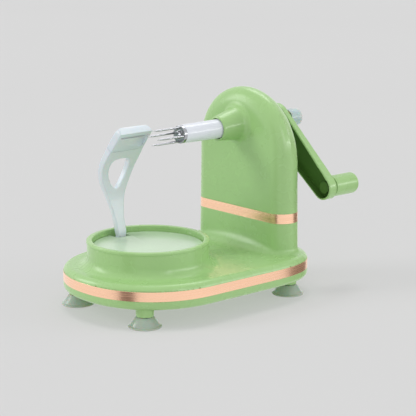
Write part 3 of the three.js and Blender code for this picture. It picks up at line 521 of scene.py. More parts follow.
def slopes(field, points, reach=0.02):
    """Unit normals of a field."""
    made = np.empty_like(points)
    for axis in range(3):
        step = np.zeros(3)
        step[axis] = reach
        made[:, axis] = field(points + step) - field(points - step)
    return made / np.maximum(np.linalg.norm(made, axis=1, keepdims=True), 1e-12)


def contour(field, low, high, cell):
    """Dual contouring: vertices and quads of the field's surface, with its edges kept sharp."""
    low = np.array(low, float) - 2.5 * cell
    count = [4 * math.ceil(n / 4) for n in (np.array(high) + 2.5 * cell - low) / cell + 1]
    grid = sampled(field, low, count, cell)
    inside = grid < 0
    points, normals, cells, flips = [], [], [], []
    strides = np.array([count[1] * count[2], count[2], 1])
    for axis in range(3):
        lower = [slice(None)] * 3
        upper = [slice(None)] * 3
        lower[axis], upper[axis] = slice(0, -1), slice(1, None)
        at = np.argwhere(inside[tuple(lower)] != inside[tuple(upper)])
        other = at.copy()
        other[:, axis] += 1
        step = np.zeros(3)
        step[axis] = cell
        ends = grid[tuple(at.T)], grid[tuple(other.T)]
        hit = crossings(field, low + cell * at, step, *ends)
        points.append(hit)
        normals.append(slopes(field, hit))
        u, v = strides[(axis + 1) % 3], strides[(axis + 2) % 3]
        home = at @ strides
        cells.append(np.stack([home - u - v, home - v, home, home - u], 1))
        flips.append(ends[0] > 0)
    points, normals, cells, flips = map(np.concatenate, (points, normals, cells, flips))
    used, corner = np.unique(cells.ravel(), return_inverse=True)
    corner = corner.reshape(cells.shape)
    flat, repeat = corner.ravel(), np.repeat(np.arange(len(points)), 4)

    def gathered(values):
        return np.bincount(flat, values[repeat], len(used))

    number = gathered(np.ones(len(points)))
    mean = np.stack([gathered(points[:, i]) / number for i in range(3)], 1)
    matrix = np.zeros((len(used), 3, 3))
    for i in range(3):
        for j in range(3):
            matrix[:, i, j] = gathered(normals[:, i] * normals[:, j])
    planes = (points[repeat] - mean[flat]) * normals[repeat]
    offset = planes.sum(1)
    pull = np.stack(
        [np.bincount(flat, offset * normals[repeat, i], len(used)) for i in range(3)], 1
    )
    matrix += 0.06 * np.eye(3)
    shift = np.linalg.solve(matrix, pull[:, :, None])[:, :, 0]
    index = np.stack(np.unravel_index(used, count), 1)
    vertices = np.clip(mean + shift, low + cell * (index - 0.1), low + cell * (index + 1.1))
    quads = np.where(flips[:, None], corner[:, ::-1], corner)
    return vertices, quads


def field_normals(mesh, field):
    """Shades the mesh with the field's own normals, one side at a time along sharp edges."""
    count = len(mesh.vertices)
    points = np.empty(count * 3)
    mesh.vertices.foreach_get("co", points)
    points = points.reshape(-1, 3) / MM
    at_vertex = slopes(field, points)
    loops = np.empty(len(mesh.loops), np.int32)
    mesh.loops.foreach_get("vertex_index", loops)
    totals = np.empty(len(mesh.polygons), np.int32)
    mesh.polygons.foreach_get("loop_total", totals)
    faces = np.empty(len(mesh.polygons) * 3)
    mesh.polygons.foreach_get("normal", faces)
    centres = np.empty(len(mesh.polygons) * 3)
    mesh.polygons.foreach_get("center", centres)
    face_of = np.repeat(np.arange(len(totals)), totals)
    flat = faces.reshape(-1, 3)[face_of]
    made = at_vertex[loops]
    off = np.einsum("ij,ij->i", made, flat) < math.cos(math.radians(32))
    inner = 0.6 * points[loops[off]] + 0.4 * centres.reshape(-1, 3)[face_of[off]] / MM
    side = slopes(field, inner)
    unsure = np.einsum("ij,ij->i", side, flat[off]) < math.cos(math.radians(32))
    side[unsure] = flat[off][unsure]
    made[off] = side
    mesh.normals_split_custom_set(made)


def thinned(mesh, share):
    """The mesh with that share of its faces, fewest where it's flat."""
    carrier = bpy.data.objects.new("thinning", mesh)
    bpy.context.scene.collection.objects.link(carrier)
    modifier = carrier.modifiers.new("thin", "DECIMATE")
    modifier.ratio = share
    result = bpy.data.meshes.new_from_object(
        carrier.evaluated_get(bpy.context.evaluated_depsgraph_get())
    )
    bpy.data.objects.remove(carrier)
    return result


def moulded(name, field, low, high, cell, share=0.4, turn=None):
    """A piece made from a distance field."""
    vertices, quads = contour(field, low, high, cell)
    mesh = bpy.data.meshes.new(name)
    mesh.from_pydata(vertices * MM, [], quads.tolist())
    mesh = thinned(mesh, share)
    mesh.polygons.foreach_set("use_smooth", np.ones(len(mesh.polygons), bool))
    field_normals(mesh, field)
    if turn is not None:
        mesh.transform(turn)
    return placed(name, mesh)


# ------------------------------------------------------------------ lathed and swept meshes
def placed(name, mesh):
    made = bpy.data.objects.new(name, mesh)
    bpy.context.scene.collection.objects.link(made)
    mesh.name = name
    return made


def rounded(profile, steps=5):
    """A profile of (radius, place) corners, each with an optional rounding as a third value."""
    made = []
    corners = [tuple(c) + (0,) * (3 - len(c)) for c in profile]
    for i, (r, h, fillet) in enumerate(corners):
        here = np.array([r, h], float)
        if not fillet:
            made.append(here)
            continue
        before = np.array(corners[i - 1][:2], float) - here
        after = np.array(corners[(i + 1) % len(corners)][:2], float) - here
        before /= np.linalg.norm(before)
        after /= np.linalg.norm(after)
        half = math.acos(np.clip(before @ after, -1, 1)) / 2
        centre_way = (before + after) / np.linalg.norm(before + after)
        centre = here + centre_way * fillet / math.sin(half)
        start = here + before * fillet / math.tan(half) - centre
        end = here + after * fillet / math.tan(half) - centre
        sweep = math.pi - 2 * half
        for k in range(steps + 1):
            t = k / steps
            arc = (math.sin((1 - t) * sweep) * start + math.sin(t * sweep) * end) / math.sin(sweep)
            made.append(centre + arc)
    return made


def lathe(name, profile, at, axis, segments=64, steps=5):
    """A turned piece. at is a point on its axis, which runs along X or Z."""
    corners = rounded(profile, steps)
    mesh = bpy.data.meshes.new(name)
    work = bmesh.new()
    angles = [2 * math.pi * i / segments for i in range(segments)]

    def point(r, h, a):
        u, v = r * math.cos(a), r * math.sin(a)
        place = (h, u, v) if axis == "X" else (u, v, h)
        return Vector((np.array(place) + at) * MM)

    rings = []
    for r, h in corners:
        if r < 1e-6:
            rings.append([work.verts.new(point(0, h, 0))])
        else:
            rings.append([work.verts.new(point(r, h, a)) for a in angles])
    closed = corners[0][0] > 1e-6
    pairs = list(zip(rings, rings[1:] + (rings[:1] if closed else [])))
    for one, two in pairs[: len(rings) - (0 if closed else 1)]:
        for i in range(segments):
            j = (i + 1) % segments
            face = [one[i % len(one)], one[j % len(one)], two[j % len(two)], two[i % len(two)]]
            face = list(dict.fromkeys(face))
            if len(face) > 2:
                work.faces.new(face)
    return finished(name, mesh, work)


def bar(name, low, high, radius, at, bore=0.0, edge=0.0, segments=64):
    """A plain round bar or tube along X."""
    profile = [(bore, low), (radius, low, edge), (radius, high, edge), (bore, high)]
    return lathe(name, profile, at, "X", segments)


def finished(name, mesh, work, sharp=35):
    """Turns a bmesh into an object with its faces outward and its real edges sharp."""
    bmesh.ops.recalc_face_normals(work, faces=work.faces)
    work.to_mesh(mesh)
    work.free()
    mesh.polygons.foreach_set("use_smooth", np.ones(len(mesh.polygons), bool))
    mesh.set_sharp_from_angle(angle=math.radians(sharp))
    return placed(name, mesh)


def swept(name, rings, closed, sharp=35):
    """A skin over rings of points in millimetres, joined ring to ring."""
    mesh = bpy.data.meshes.new(name)
    work = bmesh.new()
    made = [[work.verts.new(Vector(p * MM)) for p in ring] for ring in rings]
    for one, two in zip(made, made[1:] + (made[:1] if closed else [])):
        if not closed and one is made[-1]:
            break
        for i in range(len(one)):
            j = (i + 1) % len(one)
            work.faces.new([one[i], one[j], two[j], two[i]])
    if not closed:
        work.faces.new(made[0])
        work.faces.new(made[-1])
    return finished(name, mesh, work, sharp)


def coil(name, at, radius, wire, length, turns, ends=0.75):
    """A helical spring along X, its end turns lying flat."""
    steps, sides = int(turns * 28), 10
    rings = []
    for i in range(steps + 1):
        turn = i / steps * turns
        share = np.clip((turn - ends) / (turns - 2 * ends), 0, 1)
        a = 2 * math.pi * turn
        out = np.array([0, math.cos(a), math.sin(a)])
        centre = np.array(at) + out * radius
        flat = min(turn, ends) * 2 * wire + min(turns - turn, ends) * -2 * wire + ends * 2 * wire
        centre[0] += flat + share * (length - 4 * wire * ends)
        rings.append(
            [
                centre
                + wire * (math.cos(b) * out + math.sin(b) * np.array([1.0, 0, 0]))
                for b in np.linspace(0, 2 * math.pi, sides, endpoint=False)
            ]
        )
    return swept(name, rings, closed=False)


def carved(piece, *tools, operation="DIFFERENCE"):
    """The piece less the tools' shapes, or joined to them. The tools are used up."""
    for tool in tools:
        modifier = piece.modifiers.new("carve", "BOOLEAN")
        modifier.operation = operation
        modifier.solver = "EXACT"
        modifier.object = tool
    mesh = bpy.data.meshes.new_from_object(
        piece.evaluated_get(bpy.context.evaluated_depsgraph_get())
    )
    piece.modifiers.clear()
    piece.data = mesh
    mesh.name = piece.name
    for tool in tools:
        bpy.data.objects.remove(tool)
    mesh.polygons.foreach_set("use_smooth", np.ones(len(mesh.polygons), bool))
    mesh.set_sharp_from_angle(angle=math.radians(35))
    return piece


def slab(name, low, high, bevel=0.0):
    """A cuboid with bevelled edges."""
    work = bmesh.new()
    bmesh.ops.create_cube(work, size=1)
    size, centre = np.subtract(high, low), np.add(high, low) / 2
    for vertex in work.verts:
        vertex.co = Vector((np.array(vertex.co) * size + centre) * MM)
    if bevel:
        bmesh.ops.bevel(
            work, geom=work.edges[:], offset=bevel * MM, segments=3, affect="EDGES", profile=0.5
        )
    return finished(name, bpy.data.meshes.new(name), work)


# ------------------------------------------------------------------ materials
def shader_of(name, color, roughness, metallic=0.0, **sockets):
    """A Principled material, its uniform values set on the shader itself."""
    made = bpy.data.materials.new(name)
    made.use_nodes = True
    tree = made.node_tree
    shader = tree.nodes["Principled BSDF"]
    shader.inputs["Base Color"].default_value = (*color, 1)
    shader.inputs["Roughness"].default_value = roughness
    shader.inputs["Metallic"].default_value = metallic
    for socket, value in sockets.items():
        shader.inputs[socket.replace("_", " ")].default_value = value
    made.diffuse_color = (*color, 1)
    return made, tree, shader


def noise(tree, scale, detail=2.0, stretch=(1, 1, 1)):
    """Noise in the object's own space."""
    coordinates = tree.nodes.new("ShaderNodeTexCoord")
    mapping = tree.nodes.new("ShaderNodeMapping")
    mapping.inputs["Scale"].default_value = stretch
    made = tree.nodes.new("ShaderNodeTexNoise")
    made.inputs["Scale"].default_value = scale
    made.inputs["Detail"].default_value = detail
    tree.links.new(coordinates.outputs["Object"], mapping.inputs["Vector"])
    tree.links.new(mapping.outputs["Vector"], made.inputs["Vector"])
    return made


NOISE_RANGE = (0.3, 0.7)  # nearly all of a noise texture's values lie in here


def tinted(tree, shader, source, low, high):
    """Base colour that drifts between two colours with a noise."""
    ramp = tree.nodes.new("ShaderNodeValToRGB")
    for element, color, edge in zip(ramp.color_ramp.elements, (low, high), NOISE_RANGE):
        element.color = (*color, 1)
        element.position = edge
    tree.links.new(source.outputs["Fac"], ramp.inputs["Fac"])
    tree.links.new(ramp.outputs["Color"], shader.inputs["Base Color"])


def roughened(tree, shader, source, low, high):
    spread = tree.nodes.new("ShaderNodeMapRange")
    spread.inputs["From Min"].default_value, spread.inputs["From Max"].default_value = NOISE_RANGE
    spread.inputs["To Min"].default_value = low
    spread.inputs["To Max"].default_value = high
    tree.links.new(source.outputs["Fac"], spread.inputs["Value"])
    tree.links.new(spread.outputs["Result"], shader.inputs["Roughness"])


def bumped(tree, shader, source, strength, depth):
    bump = tree.nodes.new("ShaderNodeBump")
    bump.inputs["Strength"].default_value = strength
    bump.inputs["Distance"].default_value = depth * MM
    tree.links.new(source.outputs["Fac"], bump.inputs["Height"])
    tree.links.new(bump.outputs["Normal"], shader.inputs["Normal"])


def scaled(color, factor):
    return tuple(min(c * factor, 1) for c in color)


def plastic(name, color, roughness, drift=0.012, grain=0.025, **sockets):
    """Moulded plastic: a slow drift of colour, a faint orange peel and uneven gloss."""
    made, tree, shader = shader_of(name, color, roughness, **sockets)
    tinted(tree, shader, noise(tree, 18), scaled(color, 1 - drift), scaled(color, 1 + drift))
    roughened(tree, shader, noise(tree, 60), roughness * 0.94, roughness * 1.06)
    bumped(tree, shader, noise(tree, 700), grain, 0.03)
    return made


def copper_foil():
    """Rose-copper foil, brushed along its length."""
    color = (0.95, 0.6, 0.41)
    made, tree, shader = shader_of("copper_foil", color, 0.28, 0.88)
    brushing = noise(tree, 260, 3, (0.05, 0.05, 6))
    tinted(tree, shader, brushing, scaled(color, 0.97), scaled(color, 1.03))
    roughened(tree, shader, brushing, 0.22, 0.3)
    bumped(tree, shader, brushing, 0.05, 0.02)
    return made


def steel(name, color=(0.4, 0.41, 0.43), roughness=0.14, grain=(1, 1, 1)):
    made, tree, shader = shader_of(name, color, roughness, 1.0)
    fine = noise(tree, 320, 3, grain)
    tinted(tree, shader, fine, scaled(color, 0.92), scaled(color, 1.05))
    roughened(tree, shader, fine, roughness * 0.8, roughness * 1.25)
    return made


def vinyl():
    """Milky suction-cup vinyl that lets some light through."""
    color = (0.41, 0.49, 0.41)
    made, tree, shader = shader_of(
        "cup_vinyl", color, 0.32, Subsurface_Weight=0.35, Subsurface_Scale=0.004
    )
    tinted(tree, shader, noise(tree, 60), scaled(color, 0.94), scaled(color, 1.05))
    roughened(tree, shader, noise(tree, 140), 0.2, 0.26)
    bumped(tree, shader, noise(tree, 500), 0.05, 0.04)
    return made


GREEN = plastic("green_plastic", (0.36, 0.59, 0.235), 0.27)
# A much darker green for the faces inside the lever's channel: painted shade, not the plastic's own
# colour.
PAINTED_SHADE_GREEN = plastic("green_painted_trough_shade", (0.065, 0.16, 0.025), 0.45)
PLATE_GREEN = plastic("turntable_plastic", (0.57, 0.73, 0.53), 0.24)
MINT = plastic("mint_plastic", (0.68, 0.75, 0.8), 0.3, Subsurface_Weight=0.1)
WHITE = plastic("white_plastic", (0.78, 0.81, 0.88), 0.22)
MILKY = plastic("knob_plastic", (0.52, 0.61, 0.6), 0.25, Subsurface_Weight=0.2)
NYLON = plastic("nylon", (0.8, 0.78, 0.7), 0.45)
DARK = plastic("dark_washer", (0.03, 0.05, 0.03), 0.5)
VINYL = vinyl()
COPPER = copper_foil()
STEEL = steel("polished_steel")
# The blade steel's olive tint is a painted reflection of the green plastic round it, not the steel's
# own colour.
BLADE_STEEL = steel("blade_steel", (0.3, 0.34, 0.2), 0.3, (1, 8, 8))
BRASS = steel("bearing_brass", (0.7, 0.55, 0.25), 0.32)

SLOT_LOOKS = {
    "green_plastic": GREEN,
    "copper_trim": COPPER,
    "mint_plastic": MINT,
    "knob_plastic": MILKY,
    "white_plastic": WHITE,
    "cup_rubber": VINYL,
    "steel": STEEL,
    "bearing_brass": BRASS,
    "nylon": NYLON,
    "dark_washer": DARK,
}
NODE_SLOTS = {part["node"]: part["material_slot"] for part in frame["record"]["subparts"]}
NODE_BODIES = {
    node: body
    for body, nodes in frame["record"]["behaviour"]["bodies"].items()
    for node in nodes
}


def half_width(low, high):
    return (high[1] - low[1]) / 2


def dressed(piece, look):
    piece.data.materials.clear()
    piece.data.materials.append(look)


def stands_for(piece, node, look=None):
    """The piece replaces a CAD node: it rides on that node's body, with its slot's look."""
    dressed(piece, look or SLOT_LOOKS[NODE_SLOTS[node]])
    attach(piece, NODE_BODIES[node])
    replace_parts(piece, node)


# ------------------------------------------------------------------ housing
def housing():
    margin = np.array([0.5, 0.5, 0.5])
    shell = moulded(
        "housing_shell", housing_field, HOUSING_LOW - margin, HOUSING_HIGH + margin, 1.1, 0.42
    )
    stands_for(shell, "upper_housing")
    top, lip = TURRET["top"], TURRET["lip"]
    outer = TURRET["radius"] + TURRET["lip_proud"]
    rim = lathe(
        "turret_lip",
        [
            (TURRET["bore"], top - lip, 0.2), (outer, top - lip, 0.5), (outer, top, 1.2),
            (TURRET["bore"], top, 0.9),
        ],
        (TABLE_X, 0, 0), "Z", 160,
    )
    stands_for(rim, "upper_housing")


def cover():
    panel = moulded("rear_panel", cover_field, COVER_LOW, COVER_HIGH, 0.9, 0.5)
    stands_for(panel, "rear_cover")


def floor_plate():
    plate = moulded("floor_plate", floor_plate_field, FLOOR_PLATE_LOW, FLOOR_PLATE_HIGH, 1.2, 0.4)
    stands_for(plate, "base_plate")


def base_outline(count=72):
    """Points and outward normals round the base's plan."""
    points = []
    ends = [
        (BASE_HIGH[0] - BASE["tail"], BASE["tail"], BASE["tail_power"], 1),
        (BASE_LOW[0] + BASE["nose"], BASE["nose"], BASE["nose_power"], -1),
    ]
    for centre, length, power, side in ends:
        for a in np.linspace(-math.pi / 2, math.pi / 2, count):
            c, s = max(math.cos(a), 0), math.sin(a)
            x = centre + side * length * c ** (2 / power)
            y = side * math.copysign(BASE["half"] * abs(s) ** (2 / power), s)
            points.append((x, y))
    return with_normals(points)


def column_outline(z, count=40):
    """Points and outward normals round the column's plan at one height."""
    straight = column_width(z) - COLUMN_HALF
    points = []
    for side in (1, -1):
        for a in np.linspace(0, math.pi, count):
            x = COLUMN_MID + side * COLUMN_HALF * math.cos(a)
            points.append((x, side * (straight + COLUMN_HALF * math.sin(a))))
    return with_normals(points)


def with_normals(points):
    p = np.array(points)
    ahead, behind = np.roll(p, -1, axis=0) - p, p - np.roll(p, 1, axis=0)
    way = ahead + behind
    way /= np.linalg.norm(way, axis=1, keepdims=True)
    return p, np.stack([way[:, 1], -way[:, 0]], 1)


def band(name, node, outline, bottom, top, depth=1.0, edge=0.12, proud=0.06):
    """A strip let into a groove: a thin section carried round an outline."""
    shoulder = proud - edge
    section = [(-depth, bottom), (shoulder, bottom), (proud, bottom + edge)]
    section += [(proud, top - edge), (shoulder, top), (-depth, top)]
    heights = {z: outline(z) for _, z in section}
    count = len(heights[bottom][0])
    rings = []
    for i in range(count):
        ring = []
        for out, z in section:
            points, normals = heights[z]
            ring.append(np.array([*(points[i] + normals[i] * out), z]))
        rings.append(ring)
    stands_for(swept(name, rings, closed=True, sharp=30), node)


def cups():
    """Suction cups on stems, their lips rolled and their bells thin."""
    for name in CUPS:
        node = f"suction_cup_{name}"
        at = middle(node)
        radius, top = (CUP_HIGH[0] - CUP_LOW[0]) / 2, CUP_HIGH[2]
        cup = lathe(
            f"cup_{name}",
            [
                (0, 4.2), (5.5, 3.4, 3), (radius - 1.3, 0, 0.5), (radius, 0, 0.5),
                (radius, 1, 0.5), (radius - 1.6, 1.9, 1.5), (8.6, 7.6, 2), (7.4, 8.9, 0.7),
                (3.6, 9), (3.6, 19.9, 0.2), (5, 20.4, 0.4), (4.2, top, 0.4), (0, top),
            ],
            (at[0], at[1], 0), "Z", 72,
        )
        stands_for(cup, node)


def screws():
    """Pan-head screws with a cross recess."""
    for nodes, head, axis, way in ((BASE_SCREWS, 3, "Z", 1), (COVER_SCREWS, 3, "X", -1)):
        for node in nodes:
            low, high = box(node)
            at = (low + high) / 2
            along = 0 if axis == "X" else 2
            face = (low if way > 0 else high)[along]
            length = high[along] - low[along]
            at[along] = face
            made = lathe(
                node.replace("screw", "cross_screw"),
                [
                    (0, 0), (head, 0, 0.45), (head, way * 0.9), (1.15, way * 0.9),
                    (1.15, way * (length - 1)), (0, way * length),
                ],
                at, axis, 32, 3,
            )
            tools = []
            for wide, tall in ((1.7, 0.28), (0.28, 1.7)):
                low_corner, high_corner = at.copy(), at.copy()
                others = [i for i in range(3) if i != along]
                for i, half in zip(others, (wide, tall)):
                    low_corner[i] -= half
                    high_corner[i] += half
                low_corner[along] -= 0.6
                high_corner[along] += 0.6
                tools.append(slab("recess", low_corner, high_corner))
            stands_for(carved(made, *tools), node)


# ------------------------------------------------------------------ crankshaft
def fork():
    centre = (0, 0, FORK_Z)
    front, rear, radius = SLEEVE_LOW[0], SLEEVE_HIGH[0], half_width(SLEEVE_LOW, SLEEVE_HIGH)
    sleeve = lathe(
        "fork_sleeve",
        [
            (SHAFT_BORE, front + 0.4), (radius - 0.6, front, 0.7), (radius - 0.5, front + 2),
            (radius, rear - 0.4), (radius - 0.3, rear), (SHAFT_BORE, rear),
        ],
        centre, "X", 96,
    )
    stands_for(sleeve, "spindle_sleeve")
    front, rear, radius = HUB_LOW[0], HUB_HIGH[0], half_width(HUB_LOW, HUB_HIGH)
    hub = lathe(
        "polished_hub",
        [
            (2.3, front, 0.2), (3.6, front, 0.2), (3.9, front + 0.4, 0.1), (4.3, front, 0.2),
            (radius, front, 0.6), (radius, rear), (2.3, rear),
        ],
        centre, "X", 80, 4,
    )
    holes = []
    for node in PRONGS:
        low, high = box(node)
        at = (low + high) / 2
        radius = half_width(low, high)
        at[0] = 0
        holes.append(bar("hole", front - 1, high[0] + 0.3, radius + 0.12, at, segments=24))
        prong = lathe(
            node.replace("fork_prong", "steel_prong"),
            [
                (0, low[0]), (0.12, low[0] + 0.2), (radius * 0.75, low[0] + 4, 4),
                (radius, low[0] + 7.5, 4), (radius, high[0]), (0, high[0]),
            ],
            at, "X", 24, 3,
        )
        stands_for(prong, node)
    stands_for(carved(hub, *holes), "fork_hub")
    front, rear = box("main_shaft")[0][0], box("main_shaft")[1][0]
    shaft = lathe(
        "hollow_shaft", [(2.3, front), (4, front, 0.2), (4, rear, 0.4), (2.3, rear, 0.2)], centre,
        "X",
    )
    stands_for(shaft, "main_shaft")


def lever():
    turn = Matrix.Translation((0, 0, FORK_Z * MM)) @ Matrix.Rotation(-LEVER_ANGLE, 4, "X")
    made = moulded(
        "lever_channel", lever_field,
        (LEVER_LOW[0], -LEVER["top"], -LEVER["length"] - LEVER["low"]),
        (LEVER_HIGH[0], LEVER["top"], LEVER["top"]), 0.75, 0.6, turn,
    )
    stands_for(made, "crank_lever")
    shade_trough(made, turn)
    front, rear = NUT_LOW[0], NUT_HIGH[0]
    nut = lathe(
        "hex_nut",
        [(4.3, front), (7, front, 0.2), (7, rear - 0.5), (6.1, rear, 0.2), (4.3, rear, 0.2)],
        (0, 0, FORK_Z), "X", 6, 2,
    )
    stands_for(nut, "lever_nut")


def shade_trough(piece, turn):
    """Gives the faces inside the lever's channel a darker green: painted shade, standing in for the
    shade that falls deep in the trough.
    """
    mesh = piece.data
    centres = np.empty(len(mesh.polygons) * 3)
    mesh.polygons.foreach_get("center", centres)
    back = np.array(turn.inverted())
    x, across, z = (back[:3, :3] @ centres.reshape(-1, 3).T + back[:3, 3:]) / MM
    deep = lever_plan(across, -z) < -0.85 * LEVER["wall"]
    inside = deep & (x < LEVER["back"] - LEVER["wall"] / 2)
    mesh.materials.append(PAINTED_SHADE_GREEN)
    mesh.polygons.foreach_set("material_index", inside.astype(np.int32))


def grip():
    at = (0, GRIP_AXIS[1], GRIP_AXIS[2])
    front, rear, radius = GRIP_LOW[0], GRIP_HIGH[0], half_width(GRIP_LOW, GRIP_HIGH)
    handle = lathe(
        "round_grip",
        [
            (AXLE_BORE, front, 0.3), (radius - 0.2, front, 0.6), (radius, rear, 3.4),
            (0, rear + 0.01), (0, rear - 6), (AXLE_BORE, rear - 6),
        ],
        at, "X", 96, 8,
    )
    stands_for(handle, "crank_grip")
    low, high = WASHER_LOW[0], WASHER_HIGH[0]
    stands_for(bar("grip_seal", low, high, 8.5, at, 3.3, 0.2), "grip_washer")
    low, high = box("grip_axle")
    stands_for(bar("grip_pin", low[0], high[0], 3, at, 0, 0.3), "grip_axle")


# ------------------------------------------------------------------ ejector
SKIRT_REACH = 4.5  # how far the knob's thin skirt reaches over the nut


def ejector():
    at = (0, 0, FORK_Z)
    front, rear = KNOB_LOW[0], KNOB_HIGH[0]
    skirt = front - SKIRT_REACH
    radius = half_width(KNOB_LOW, KNOB_HIGH)
    knob = lathe(
        "push_knob",
        [
            (6.2, front + 0.5), (7.3, front + 0.5), (7.3, skirt), (radius, skirt, 0.4),
            (radius, front + 2.2, 0.6), (radius - 0.7, front + 3.2, 0.5),
            (radius - 0.7, rear - 2.4, 0.5), (radius - 0.4, rear, 1.8), (radius - 3.4, rear, 0.8),
            (radius - 4, rear - 0.8, 0.6), (0, rear - 0.5), (0, rear - 2.2),
            (6.2, rear - 2.2, 0.5),
        ],
        at, "X", 96,
    )
    stands_for(knob, "ejector_knob")
    low, high = box("ejector_disc")
    disc = lathe(
        "push_disc", [(0, low[0]), (2.8, low[0], 0.3), (3.5, high[0], 0.2), (0, high[0])], at, "X"
    )
    stands_for(disc, "ejector_disc")
    low, high = box("ejector_rod")
    stands_for(bar("push_rod", low[0], high[0], 2, at, segments=48), "ejector_rod")
    start, end = NUT_HIGH[0] + 0.6, rear - 2.9
    spring = coil("push_spring", (start, 0, FORK_Z), 3.7, 0.45, end - start, 6)
    stands_for(spring, "ejector_spring")
    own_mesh(spring)


# ------------------------------------------------------------------ turntable
def turntable():
    top, radius = PLATE_HIGH[2], (PLATE_HIGH[0] - PLATE_LOW[0]) / 2
    under = top - 3.5
    disc = lathe(
        "turntable_disc",
        [
            (4.3, 32.5), (9, 32.5, 0.3), (9, under, 0.8), (radius, under, 0.3),
            (radius, top, 0.9), (0, top), (0, 48), (4.3, 48),
        ],
        (TABLE_X, 0, 0), "Z", 160,
    )
    lugs = []
    for side in (-1, 1):
        near, far = sorted((ARM_X + side * 4.1, ARM_X + side * 9.5))
        lugs.append(
            slab("lug", (near, PIVOT[1] - 3.4, 46), (far, PIVOT[1] + 3.4, under + 0.6), 0.5)
        )
    slot = slab("slot", (ARM_X - 7, 34.2, 50.6), (ARM_X + 7, 60, top + 3))
    at = (0, PIVOT[1], PIVOT[2])
    bore = bar("bore", TABLE_X - 12, TABLE_X + 18, 1.8, at, segments=32)
    pocket = bar("pocket", ARM_X + 9.7, ARM_X + 16.5, 3.3, at, segments=32)
    disc = carved(carved(disc, slot), *lugs, operation="UNION")
    stands_for(carved(disc, bore, pocket), "turntable_plate", PLATE_GREEN)
    low, high = box("arm_pivot_pin")
    pin = bar("pivot_pin", low[0], high[0], 1.5, at, 0, 0.3, 32)
    stands_for(pin, "arm_pivot_pin")
    low, high = box("arm_spring")
    length = high[0] - low[0] - 0.9
    spring = coil("torsion_spring", (low[0] + 0.45, at[1], at[2]), 2.4, 0.4, length, 3.5)
    stands_for(spring, "arm_spring")


def arm():
    low, high = box("peeling_arm")
    carrier_low, carrier_high = box("blade_carrier")
    reach_low, reach_high = np.minimum(low, carrier_low), np.maximum(high, carrier_high)
    lower = moulded("arm_band", lower_arm_field, reach_low, reach_high, 0.6, 0.5)
    stands_for(lower, "peeling_arm")
    head = moulded("arm_head", carrier_field, carrier_low, carrier_high, 0.5, 0.6)
    stands_for(head, "blade_carrier")
    blade = slab("steel_blade", (-13.9, 1.6, HEAD["slit"] - 0.35), (13.9, 6, HEAD["slit"] + 0.35), 0.1)
    turn = Matrix.Translation((ARM_X * MM, HEAD["y"] * MM, HEAD["z"] * MM)) @ Matrix.Rotation(
        HEAD["lean"], 4, "X"
    )
    blade.data.transform(turn)
    stands_for(blade, "peeler_blade", BLADE_STEEL)


# ------------------------------------------------------------------ stage
CAMERA = {"azimuth": -41.569, "elevation": 12.646, "distance": 1400, "lens": 138.63}
TARGET = (TABLE_X + 68, 0, 75.69)
ROOM_LIGHT = 0.57  # the world's strength for all but mirror-like reflections
FLOOR_GLOW = 0.39


def direction(azimuth, elevation):
    a, e = math.radians(azimuth), math.radians(elevation)
    return Vector((math.sin(a) * math.cos(e), -math.cos(a) * math.cos(e), math.sin(e)))


def aimed(thing, azimuth, elevation, distance, target=TARGET):
    back = direction(azimuth, elevation)
    thing.location = (Vector(target) + back * distance) * MM
    thing.rotation_mode = "QUATERNION"
    thing.rotation_quaternion = (-back).to_track_quat("-Z", "Y")
    bpy.context.scene.collection.objects.link(thing)


def camera():
    data = bpy.data.cameras.new("camera")
    data.lens = CAMERA["lens"]
    data.sensor_width = 36
    data.clip_end = 20
    made = bpy.data.objects.new("camera", data)
    aimed(made, CAMERA["azimuth"], CAMERA["elevation"], CAMERA["distance"])
    bpy.context.scene.camera = made


def sun(name, azimuth, elevation, strength, spread):
    data = bpy.data.lights.new(name, "SUN")
    data.energy = strength
    data.angle = math.radians(spread)
    made = bpy.data.objects.new(name, data)
    aimed(made, azimuth, elevation, 1000)
    made.visible_glossy = False


def softbox(name, azimuth, elevation, distance, size, power):
    """A rectangular light that shows only in reflections."""
    data = bpy.data.lights.new(name, "AREA")
    data.shape = "RECTANGLE"
    data.size, data.size_y = (side * MM for side in size)
    data.energy = power
    made = bpy.data.objects.new(name, data)
    aimed(made, azimuth, elevation, distance)
    made.visible_diffuse = False
    made.visible_camera = False


def flat_square(name, half):
    work = bmesh.new()
    bmesh.ops.create_grid(work, x_segments=1, y_segments=1, size=half)
    mesh = bpy.data.meshes.new(name)
    work.to_mesh(mesh)
    work.free()
    return bpy.data.objects.new(name, mesh)


def dark_card(name, azimuth, elevation, distance, size, shade):
    """A dim panel seen only in reflections."""
    made = flat_square(name, 0.5)
    aimed(made, azimuth, elevation, distance)
    made.scale = (size[0] * MM, size[1] * MM, 1)
    look, tree, shader = shader_of(name, shade, 0.9)
    tinted(tree, shader, noise(tree, 2), scaled(shade, 0.9), scaled(shade, 1.1))
    made.data.materials.append(look)
    made.visible_camera = False
    made.visible_diffuse = False
    made.visible_shadow = False


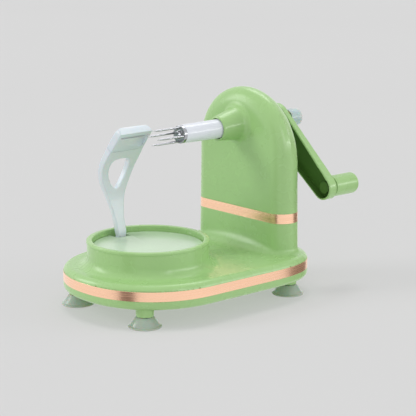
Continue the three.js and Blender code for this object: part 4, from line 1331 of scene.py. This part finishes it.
def studio():
    world = bpy.data.worlds.new("studio")
    world.use_nodes = True
    nodes, links = world.node_tree.nodes, world.node_tree.links
    background = nodes["Background"]
    background.inputs["Color"].default_value = (1, 1, 1, 1)
    rays = nodes.new("ShaderNodeLightPath")
    strength = nodes.new("ShaderNodeMapRange")
    strength.inputs["To Min"].default_value = ROOM_LIGHT
    strength.inputs["To Max"].default_value = 1.0
    links.new(rays.outputs["Is Glossy Ray"], strength.inputs["Value"])
    links.new(strength.outputs["Result"], background.inputs["Strength"])
    bpy.context.scene.world = world
    bpy.context.scene.view_settings.view_transform = "Standard"
    floor = flat_square("floor", 20)
    bpy.context.scene.collection.objects.link(floor)
    grey = (0.3, 0.3, 0.3)
    look, tree, shader = shader_of("floor", grey, 0.9, Specular_IOR_Level=0.0)
    shader.inputs["Emission Color"].default_value = (1, 1, 1, 1)
    shader.inputs["Emission Strength"].default_value = FLOOR_GLOW
    tinted(tree, shader, noise(tree, 1.5), scaled(grey, 0.99), scaled(grey, 1.01))
    floor.data.materials.append(look)
    floor.visible_glossy = False
    sun("key", -124, 32, 0.86, 22)
    sun("top", 150, 84, 0.68, 18)
    sun("right_fill", 48, 6, 1.25, 50)
    sun("front_fill", -38, 5, 0.42, 60)
    sun("left_fill", -82, 2, 0.16, 30)
    softbox("back_strip", -139, 22, 900, (260, 420), 1.5)
    softbox("level_strip", 30, 12.6, 900, (900, 50), 2)
    softbox("edge_strip", -5, 22, 900, (60, 500), 1)
    softbox("overhead", 125, 60, 900, (600, 300), 2)
    dark_card("left_card", -77, 0, 900, (320, 1040), (0.1, 0.05, 0.03))
    dark_card("right_card", 75, 0, 900, (800, 1040), (0.3, 0.25, 0.2))


housing()
cover()
floor_plate()
band("base_band", "base_trim_band", lambda z: base_outline(), BASE_LOW[2], BASE_HIGH[2])
band("column_band", "column_trim_band", column_outline, COLUMN_LOW[2], COLUMN_HIGH[2])
cups()
screws()
fork()
lever()
grip()
ejector()
turntable()
arm()
stood_for = {n for o in bpy.data.objects for n in o.get("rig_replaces", [])}
for node, thing in frame["nodes"].items():
    if node not in stood_for:
        dressed(thing, SLOT_LOOKS[NODE_SLOTS[node]])
camera()
studio()
